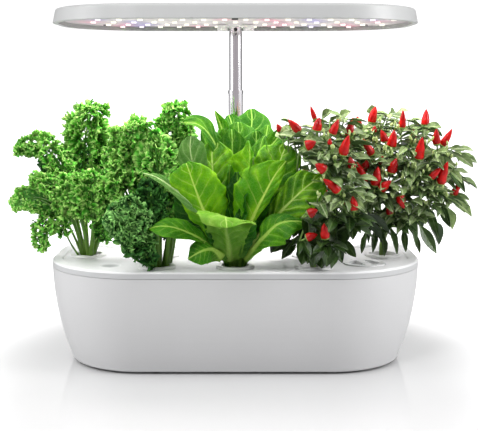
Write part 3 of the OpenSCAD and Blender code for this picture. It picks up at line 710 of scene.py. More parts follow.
M["kale"] = kale_mat("kale_leaf", lin(4, 36, 6), lin(84, 204, 46), lin(214, 254, 146), lin(136, 206, 94))
# darker copies, painted shade for plumes set further in and lower in the head
M["kale_dark"] = kale_mat("kale_leaf_dark", lin(3, 26, 7), lin(46, 146, 32), lin(166, 246, 108), lin(84, 152, 64))
M["kale_deep"] = kale_mat("kale_leaf_deep", lin(3, 22, 8), lin(22, 80, 24), lin(84, 148, 64), lin(60, 110, 50))
M["kale_blue"] = kale_mat("kale_leaf_blue", lin(3, 25, 8), lin(36, 108, 34), lin(178, 238, 136), lin(106, 170, 94))
M["kale_flat"] = lettuce("kale_flat", lin(50, 124, 40), lin(96, 176, 66), lin(206, 234, 168), lin(120, 174, 90))


def stalk_mat(name, low, high):
    m = Mat(name)
    u, v, rnd = m.attr("leaf_a")
    streak = m.noise(240, 3, 0.6, stretch=(1, 1, 0.08))
    col = m.mix(m.span(u, 0.0, 1.0), low, high)
    dk = m.mix(0.45, col, lin(40, 80, 24))
    m.set(colour=m.mix(m.span(streak, 0.35, 0.7), col, dk), rough=0.42, spec=0.4, normal=m.bump(streak, 0.4, 0.0006))
    m.through(col, 0.12)
    return m.m


M["kale_stalk"] = stalk_mat("kale_stalk", lin(104, 146, 44), lin(66, 134, 36))
M["chilli_stalk"] = stalk_mat("chilli_stalk", lin(88, 104, 56), lin(138, 176, 88))


# ------------------------------------------------------------------ curly kale
def frill(bag, o, e1, e2, n, R, spread, rng, lam=5.4, amp=3.4, cup=0.0, dark=0.0, roll=0.4):
    """One lobe of a curly leaf: its margin is far longer than its arc, so that it buckles into crests."""
    k = max(2.6, 2 * spread * R / lam)
    nt = int(min(64, max(24, k * 7)))
    r = np.array([0.08, 0.36, 0.6, 0.78, 0.91, 1.0])[:, None]
    x = np.linspace(0, 1, nt)[None, :]
    th = (2 * x - 1) * spread
    ph = rng.uniform(0, 2 * math.pi, 8)
    f = 2 * math.pi * k * (x + 0.045 * np.sin(2 * math.pi * 1.6 * x + ph[4]) + 0.024 * np.sin(2 * math.pi * 3.7 * x + ph[5])) + ph[0]
    w = np.sin(f)
    vary = 0.8 + 0.35 * np.sin(2 * math.pi * 1.9 * x + ph[1])
    z = amp * vary * (r ** 1.6 * w + 0.42 * r ** 4 * np.sin(2.3 * f + ph[2])) + cup * R * r ** 2 - roll * 0.35 * R * r ** 4
    along = 0.5 * amp * vary * r ** 2.5 * np.sin(2 * f + 0.4)
    rad = R * r * (1 + 0.15 * r ** 2 * np.sin(2 * math.pi * 2.2 * x + ph[6]) + 0.10 * r ** 3 * np.sin(1.05 * f + ph[3]) + 0.06 * r ** 6 * np.sin(3.1 * f))
    d = np.cos(th)[..., None] * e1 + np.sin(th)[..., None] * e2
    tg = -np.sin(th)[..., None] * e1 + np.cos(th)[..., None] * e2
    start = (2 * x - 1)[..., None] * e2 * 0.16 * R * (1 - r[..., None])
    g = o + start + rad[..., None] * d + along[..., None] * tg + z[..., None] * n
    a = np.stack([r + 0 * x, w * np.ones_like(r), np.full(g.shape[:2], rng.uniform())], -1)
    # dark becomes the material's tone: above 0 the lobe is painted toward the crest colour (painted light), below 0
    # toward the deep colour (painted shade)
    b = np.stack([0 * z, x + 0 * r, np.full(g.shape[:2], dark)], -1)
    thin = 0.26 * (1.15 - 0.5 * r ** 4) + 0 * x
    bag.sheet(g, thin, thin, a, b)


def turn(v, axis, ang):
    axis = norm(np.asarray(axis, float))
    return v * math.cos(ang) + np.cross(axis, v) * math.sin(ang) + axis * np.dot(axis, v) * (1 - math.cos(ang))


def plume(name, pod, node, path, hint, width, seed, ub=0.3, step=7.0, mat="kale", stalk=(2.4, 0.8), lam=5.6, amp=3.5, fill=1.0, bare=0.0):
    """A curly leaf: a stalk that becomes its rib, ruffled lobes in rows to both sides, and curls that stand off its face.
    width: (u, half width) in mm. fill thins the curls out; bare keeps the lower rib clear."""
    rng = np.random.RandomState(seed)
    bag = Bag()
    c, length = crom(path, 90)
    t, n, s = axes_along(c, spread_hint(hint, 90))
    u = np.linspace(0, 1, 90)
    rr = np.interp(u, [0, 0.25, ub + 0.1, 1], [stalk[0] * 1.15, stalk[0], stalk[0] * 0.72, stalk[1]])
    width = np.asarray(width, float)
    st = Bag()
    st.tube(c[:84:3], rr[:84:3], 9, squash=0.8, ridges=0.06, a=(0, 0, rng.uniform()))
    pos = ub * length
    while pos < length * 0.99:
        f = pos / length
        i = min(89, int(f * 89))
        w = np.interp(f, width[:, 0], width[:, 1])
        taper = min(1.0, (1 - f) * 4.0 + 0.66) * min(1.0, 0.55 + 2.2 * (f - ub) / (1 - ub))
        w = w * taper
        bw = bare * max(0.0, 1 - (f - ub) / (1 - ub) * 1.6)
        for sg in (-1, 1):
            # side vein out to the margin
            lean = rng.uniform(0.3, 0.6) + 0.5 * f
            e1 = norm(sg * s[i] * math.cos(lean) + t[i] * math.sin(lean))
            v0, v1 = c[i], c[i] + e1 * w * 0.62 - n[i] * 0.8
            st.tube(np.linspace(v0, v1, 4), np.array([0.8, 0.65, 0.5, 0.25]), 5, a=(0, 0, 0.8))
            # outer row, wide and rolled back, mostly painted darker (painted shade)
            tilt = rng.uniform(-0.7, 0.3)
            e1 = turn(e1, t[i], -sg * tilt)
            nn = norm(turn(n[i], t[i], -sg * tilt) + 0.22 * rng.normal(size=3))
            e2 = norm(np.cross(nn, e1))
            o = c[i] + sg * s[i] * 0.46 * w + n[i] * rng.uniform(-2.0, 1.0) + t[i] * rng.uniform(-2, 2)
            frill(bag, o, e1, e2, nn, max(6.5, 0.58 * w) * rng.uniform(0.85, 1.12), rng.uniform(1.2, 1.6), rng,
                  lam * rng.uniform(0.9, 1.2), amp * rng.uniform(0.85, 1.15), cup=rng.uniform(-0.1, 0.2), dark=rng.uniform(-0.5, 0.1),
                  roll=rng.uniform(0.2, 0.9))
            # inner row, leaning to the upper face
            if rng.uniform() < fill and bw < 0.3:
                tilt = rng.uniform(0.15, 0.9)
                e1 = norm(sg * s[i] * rng.uniform(0.5, 1) + t[i] * rng.uniform(-0.3, 0.8))
                e1 = turn(e1, t[i], -sg * tilt)
                nn = norm(turn(n[i], t[i], -sg * tilt) + 0.3 * rng.normal(size=3))
                e2 = norm(np.cross(nn, e1))
                o = c[i] + sg * s[i] * rng.uniform(0.1, 0.3) * w + n[i] * rng.uniform(0, 1.5)
                frill(bag, o, e1, e2, nn, max(6.0, 0.42 * w) * rng.uniform(0.85, 1.2), rng.uniform(1.3, 1.9), rng,
                      lam * rng.uniform(0.8, 1.05), amp * rng.uniform(0.8, 1.05), cup=rng.uniform(0, 0.3), dark=rng.uniform(-0.25, 0.2))
            # curls that stand off the face, painted lighter (painted light), and a few behind, painted darker (painted
            # shade)
            if rng.uniform() < 0.85 * fill and bw < 0.6:
                face = 1 if rng.uniform() < 0.8 else -1
                o = c[i] + sg * s[i] * w * rng.uniform(0.25, 0.8) + t[i] * rng.uniform(-3, 3) + face * n[i] * rng.uniform(1.0, 4.0)
                e1 = norm(sg * s[i] * rng.uniform(-0.3, 0.8) + t[i] * rng.uniform(-0.5, 0.8) + face * n[i] * rng.uniform(0.5, 1.1))
                nn = norm(np.cross(e1, rng.normal(size=3)))
                e2 = norm(np.cross(nn, e1))
                frill(bag, o, e1, e2, nn, rng.uniform(6.5, 9.5) * (0.55 + 0.45 * taper), rng.uniform(1.4, 2.2), rng,
                      lam * rng.uniform(0.75, 0.95), amp * rng.uniform(0.7, 0.95), cup=rng.uniform(-0.1, 0.35), dark=rng.uniform(0.05, 0.38) if face > 0 else -0.4)
        pos += step * rng.uniform(0.85, 1.15) * (0.7 + 0.3 * taper)
    # terminal fan
    frill(bag, c[-3], t[-1], s[-1], n[-1], 7.5, 1.8, rng, lam, amp)
    st.make(name + "_stalk", M["kale_stalk"], pod, "kale")
    bag.make(name, M[mat], pod, "kale", [node])


def flat_kale(name, pod, node, path, hint, half, seed, ub, mat="kale_flat", stalk=(1.7, 0.8)):
    """A curly leaf that lies open: a veined sheet with ruffled lobes only along its margin."""
    rng = np.random.RandomState(seed)
    c, length = crom(path, 90)
    hints = spread_hint(hint, 90)
    t, n, s = axes_along(c, hints)
    st = Bag()
    st.tube(c[:84:3], np.interp(np.linspace(0, 1, 90), [0, ub, 1], [stalk[0], stalk[0] * 0.8, stalk[1]])[:84:3], 8, squash=0.85, a=(0, 0, 0.9))
    k = int(ub * 89)
    half = np.asarray(half, float)
    sheet_bag = Bag()
    blade(sheet_bag, c[k:], hints[k], half, rng, nu=44, nv=20, u0=0.7, cup=0.25, wave=(1.8, 4.0), pucker=0.9, veins=6, rib=(0.9, 0.9), thick=0.5)
    for j in range(1, 6):
        f = j / 6.2
        i = k + int(f * (89 - k))
        w = np.interp(f, half[:, 0], half[:, 1])
        for sg in (-1, 1):
            e = norm(sg * s[i] * 0.8 + t[i] * 0.62)
            mid = c[i] + e * w * 0.55 + n[i] * 0.9
            st.tube(np.linspace(c[i] + n[i] * 0.3, mid, 4), np.array([0.62, 0.55, 0.5, 0.42]), 5, a=(0, 0, 0.9))
            for q in (-0.5, 0.45):
                e2 = norm(turn(e, n[i], sg * q))
                st.tube(np.linspace(mid, mid + e2 * w * 0.4, 3), np.array([0.42, 0.32, 0.2]), 5, a=(0, 0, 0.9))
    lobes = Bag()
    for j in range(19):
        f = (j + 0.5) / 19
        i = k + int(f * (89 - k))
        w = np.interp(f, half[:, 0], half[:, 1]) * min(1, (1 - f) * 3.4 + 0.25)
        for sg in (-1, 1):
            e1 = norm(sg * s[i] * rng.uniform(0.7, 1) + t[i] * (0.3 + 0.9 * f))
            nn = norm(n[i] + 0.35 * rng.normal(size=3))
            e2 = norm(np.cross(nn, e1))
            frill(lobes, c[i] + sg * s[i] * w * 0.82 + n[i] * rng.uniform(-1.5, 1.0), e1, e2, nn, rng.uniform(6.5, 9.5), rng.uniform(1.3, 1.9), rng,
                  4.6, 2.8, cup=rng.uniform(-0.3, 0.3), dark=0.05)
    st.make(name + "_stalk", M["kale_stalk"], pod, "kale")
    sheet_bag.make(name + "_sheet", M[mat], pod, "kale")
    lobes.make(name, M["kale"], pod, "kale", [node])


Y1, Y2 = -21.6, -93.3
KL = "kale_left"
BL = (89, 252)          # stalk foot of the left kale in the picture
up_front = (0.0, -0.85, 0.5)

left_kale = [
    # name, picture path with depth, upper face, width profile, blade start, tone, seed, extra
    ("k1", [(88, 256, -22), (86, 225, -16), (84, 192, -8), (84, 160, -4), (86, 134, -7), (91, 116, -14), (95, 109, -26)], [(0.1, -0.95, 0.3), (0.1, -0.9, 0.4), (0.1, -0.5, 0.85)],
     [(0.35, 15), (0.55, 22), (0.75, 25), (0.92, 24), (1, 20)], 0.44, "kale", 3, dict(bare=0.7)),
    ("k2", [(85, 256, -24), (78, 224, -30), (70, 192, -34), (61, 167, -36), (50, 152, -38), (38, 144, -39), (25, 144, -40), (17, 153, -40)], (-0.15, -0.7, 0.7),
     [(0.4, 12), (0.65, 15), (0.85, 13), (1, 8)], 0.5, "kale", 5, {}),
    ("k6", [(84, 257, -28), (76, 228, -42), (66, 202, -50), (52, 185, -54), (33, 179, -56)], (-0.1, -0.85, 0.5),
     [(0.35, 12), (0.7, 15), (1, 8)], 0.52, "kale", 7, {}),
    ("k5", [(91, 256, -36), (93, 232, -54), (93, 210, -62), (91, 190, -64), (92, 174, -62)], (0.0, -0.95, 0.3),
     [(0.35, 15), (0.65, 23), (0.85, 23), (1, 14)], 0.56, "kale", 17, {}),
    ("k5b", [(89, 256, -34), (84, 230, -50), (77, 208, -60), (70, 190, -62), (64, 177, -60)], (-0.1, -0.95, 0.3),
     [(0.35, 12), (0.65, 17), (0.85, 17), (1, 10)], 0.6, "kale", 18, {}),
    ("k7", [(92, 255, -18), (96, 222, 0), (92, 185, 14), (84, 160, 20), (78, 143, 20)], (0.0, -0.9, 0.4),
     [(0.35, 14), (0.7, 18), (1, 9)], 0.42, "kale_deep", 19, dict(fill=0.7)),
    ("k7b", [(93, 255, -20), (104, 222, -14), (110, 185, -8), (112, 160, -4), (110, 146, -2)], (0.1, -0.9, 0.4),
     [(0.35, 13), (0.7, 17), (1, 9)], 0.45, "kale_dark", 23, dict(fill=0.8)),
    ("k7e", [(92, 255, -30), (102, 232, -46), (110, 214, -54), (116, 200, -56)], (0.1, -0.95, 0.3),
     [(0.35, 12), (0.7, 17), (1, 10)], 0.4, "kale_dark", 24, {}),
    ("k7c", [(86, 256, -16), (72, 218, 4), (60, 188, 16), (52, 170, 22), (44, 160, 26)], (-0.3, -0.7, 0.5),
     [(0.35, 11), (0.7, 15), (1, 8)], 0.45, "kale_deep", 29, dict(fill=0.7)),
    ("k7d", [(88, 255, -12), (82, 215, 24), (76, 185, 44), (76, 165, 54), (80, 152, 60)], (0.0, 0.8, 0.5),
     [(0.35, 13), (0.7, 21), (1, 9)], 0.4, "kale", 31, {}),
    ("k7f", [(86, 255, -12), (76, 222, 14), (62, 196, 36), (48, 180, 50), (38, 176, 58)], (-0.3, 0.6, 0.7),
     [(0.35, 13), (0.7, 19), (1, 9)], 0.42, "kale", 33, {}),
]
right_kale = [
    ("k8", [(153, 268, -96), (147, 240, -88), (139, 208, -82), (132, 175, -80), (132, 148, -80), (136, 130, -88), (139, 125, -100)], [(0.0, -0.95, 0.35), (0, -0.9, 0.4), (0.0, -0.5, 0.85)],
     [(0.35, 13), (0.6, 19), (0.85, 21), (1, 19)], 0.56, "kale", 37, {}),
    ("k8b", [(150, 268, -95), (142, 240, -86), (134, 206, -80), (124, 172, -78), (119, 148, -76), (118, 130, -74)], (-0.1, -0.95, 0.3),
     [(0.35, 10), (0.7, 14), (0.9, 14), (1, 10)], 0.6, "kale", 38, {}),
    ("k8c", [(157, 268, -98), (153, 238, -88), (148, 205, -80), (144, 172, -76), (142, 145, -74), (141, 125, -72)], (0.05, -0.95, 0.3),
     [(0.35, 10), (0.7, 13), (0.9, 13), (1, 10)], 0.62, "kale", 39, {}),
    ("k9b", [(167, 267, -88), (172, 235, -72), (175, 198, -60), (180, 165, -52), (183, 138, -48), (184, 118, -46)], (0.1, -0.95, 0.3),
     [(0.35, 10), (0.7, 14), (0.9, 14), (1, 10)], 0.58, "kale", 42, {}),
    ("k18", [(158, 266, -84), (156, 230, -58), (152, 190, -44), (150, 158, -40), (150, 138, -38)], (0.0, -0.9, 0.4),
     [(0.35, 12), (0.7, 17), (1, 11)], 0.45, "kale_dark", 81, dict(fill=0.7)),
    ("k19", [(169, 266, -84), (175, 232, -56), (178, 195, -40), (183, 162, -32), (185, 138, -28)], (0.1, -0.9, 0.4),
     [(0.35, 12), (0.7, 17), (1, 11)], 0.45, "kale", 83, dict(fill=0.7)),
    ("k9", [(164, 267, -92), (168, 235, -74), (169, 198, -62), (171, 165, -54), (173, 135, -50), (175, 116, -54), (177, 109, -66)], [(0.1, -0.95, 0.3), (0.1, -0.9, 0.4), (0.1, -0.5, 0.85)],
     [(0.4, 12), (0.7, 17), (0.9, 19), (1, 17)], 0.52, "kale", 41, {}),
    ("k10", [(152, 268, -98), (141, 238, -92), (132, 208, -92), (122, 182, -92), (114, 165, -90)], (-0.1, -0.9, 0.4),
     [(0.35, 12), (0.7, 18), (1, 10)], 0.52, "kale", 43, {}),
    ("k11", [(160, 268, -100), (160, 238, -98), (158, 205, -98), (158, 175, -98), (156, 150, -96), (155, 132, -94)], (0.0, -0.95, 0.3),
     [(0.4, 12), (0.65, 20), (0.85, 21), (1, 14)], 0.6, "kale", 47, {}),
    ("k11b", [(166, 268, -98), (169, 238, -100), (170, 208, -100), (176, 184, -98), (180, 168, -96)], (0.1, -0.95, 0.3),
     [(0.4, 8), (0.65, 12), (0.85, 12), (1, 8)], 0.5, "kale", 48, {}),
    ("k12", [(155, 269, -104), (146, 252, -116), (134, 234, -124), (122, 219, -126), (112, 210, -124)], (-0.1, -0.92, 0.35),
     [(0.3, 12), (0.6, 20), (0.85, 19), (1, 12)], 0.4, "kale_blue", 53, {}),
    ("k12b", [(156, 269, -104), (150, 252, -118), (142, 232, -126), (134, 214, -128), (128, 200, -126)], (0.0, -0.95, 0.3),
     [(0.3, 12), (0.7, 18), (1, 11)], 0.46, "kale_blue", 59, {}),
    ("k13", [(154, 269, -106), (148, 258, -118), (141, 249, -124), (135, 247, -128), (130, 252, -128)], (-0.1, -0.95, 0.1),
     [(0.3, 9), (0.7, 11), (1, 8)], 0.3, "kale_deep", 61, {}),
    ("k14", [(158, 267, -96), (160, 245, -92), (162, 224, -88), (164, 206, -86), (165, 194, -84)], (0.1, -0.95, 0.3),
     [(0.3, 7), (0.7, 12), (1, 8)], 0.45, "kale_deep", 67, dict(fill=0.7)),
    ("k15", [(156, 268, -92), (150, 240, -80), (146, 212, -72), (144, 190, -70), (144, 172, -70)], (0.0, -0.95, 0.3),
     [(0.4, 9), (0.8, 13), (1, 8)], 0.55, "kale_deep", 71, dict(fill=0.7)),
    ("k15b", [(158, 268, -100), (157, 244, -110), (154, 220, -116), (150, 200, -116), (147, 184, -114)], (0.0, -0.95, 0.3),
     [(0.4, 10), (0.8, 17), (1, 11)], 0.6, "kale_deep", 72, {}),
    ("k16", [(156, 267, -86), (148, 232, -58), (140, 200, -34), (136, 178, -24), (134, 165, -20)], (0.0, 0.5, 0.8),
     [(0.35, 12), (0.7, 18), (1, 9)], 0.4, "kale_dark", 73, {}),
    ("k17", [(159, 267, -86), (158, 232, -64), (156, 200, -48), (154, 172, -40), (153, 150, -36)], (0.0, 0.4, 0.9),
     [(0.35, 12), (0.7, 18), (1, 9)], 0.4, "kale", 79, {}),
]
for nm, path, hint, width, ub, mat, seed, extra in left_kale:
    plume("kale_left_" + nm, "pod_1", "kale_left", PP(path), hint, width, seed, ub=ub, mat=mat, **extra)
for nm, path, hint, width, ub, mat, seed, extra in right_kale:
    plume("kale_right_" + nm, "pod_2", "kale_right", PP(path), hint, width, seed, ub=ub, mat=mat, **extra)
flat_kale("kale_left_k3", "pod_1", "kale_left", PP([(83, 257, -26), (74, 236, -36), (62, 214, -44), (46, 201, -50), (28, 198, -54), (14, 202, -56)]),
          (-0.05, -0.95, 0.35), [(0, 3, 3), (0.25, 8, 8), (0.55, 10, 10), (0.8, 8, 8), (1, 4, 4)], 11, 0.52)
plume("kale_left_k4", "pod_1", "kale_left", PP([(80, 258, -30), (70, 242, -42), (62, 226, -50), (54, 218, -54), (44, 224, -58), (38, 236, -60), (42, 246, -60)]),
      (-0.1, -0.95, 0.2), [(0.3, 8), (0.6, 11), (0.85, 9), (1, 6)], 13, ub=0.42, mat="kale", stalk=(1.1, 0.7), fill=0.7)
plume("kale_right_k12c", "pod_2", "kale_right", PP([(154, 268, -104), (144, 250, -120), (132, 234, -130), (120, 224, -134), (108, 218, -134)]),
      (-0.1, -0.95, 0.3), [(0.3, 9), (0.6, 13), (1, 9)], 15, ub=0.35, mat="kale_blue", fill=0.5)

# ------------------------------------------------------------------ romaine
def outlined(rib, edge, face=-1, base=5.0, n=15):
    """Half widths of a leaf whose outline and rib are given in picture points: (u, left, right) in mm."""
    q, _ = crom(np.asarray(rib, float), 90)
    e = np.asarray(edge, float)
    e2 = np.roll(e, -1, axis=0)
    tang = np.gradient(q[:, :2], axis=0)
    out = []
    for k in np.linspace(0, 89, n).astype(int):
        p, t = q[k, :2], tang[k] / np.linalg.norm(tang[k])
        s = np.array([-t[1], t[0]]) * (-face)
        mm = (q[k, 2] - EYE[1]) / FOCAL
        row = [k / 89]
        hits = {}
        for name, d in (("l", -s), ("r", s)):
            den = d[0] * (e2 - e)[:, 1] - d[1] * (e2 - e)[:, 0]
            den = np.where(np.abs(den) < 1e-9, 1e-9, den)
            w = e - p
            tt = (w[:, 0] * (e2 - e)[:, 1] - w[:, 1] * (e2 - e)[:, 0]) / den
            uu = (w[:, 0] * d[1] - w[:, 1] * d[0]) / den
            good = tt[(tt > 0) & (uu >= 0) & (uu < 1)]
            hits[name] = np.sort(good)
        inside = len(hits["l"]) % 2 == 1 and len(hits["r"]) % 2 == 1
        if inside:
            row += [hits["l"][0] * mm, hits["r"][0] * mm]
        else:
            row += [None, None]
        out.append(row)
    for c in (1, 2):
        first = next((i for i, r in enumerate(out) if r[c] is not None), None)
        last = max((i for i, r in enumerate(out) if r[c] is not None), default=None)
        for i, r in enumerate(out):
            if r[c] is None:
                if first is None:
                    r[c] = base
                elif i < first:
                    r[c] = base + (out[first][c] - base) * (i / first) ** 1.3
                else:
                    r[c] = out[last][c] * max(0.15, 1 - (i - last) / (len(out) - last))
    return out


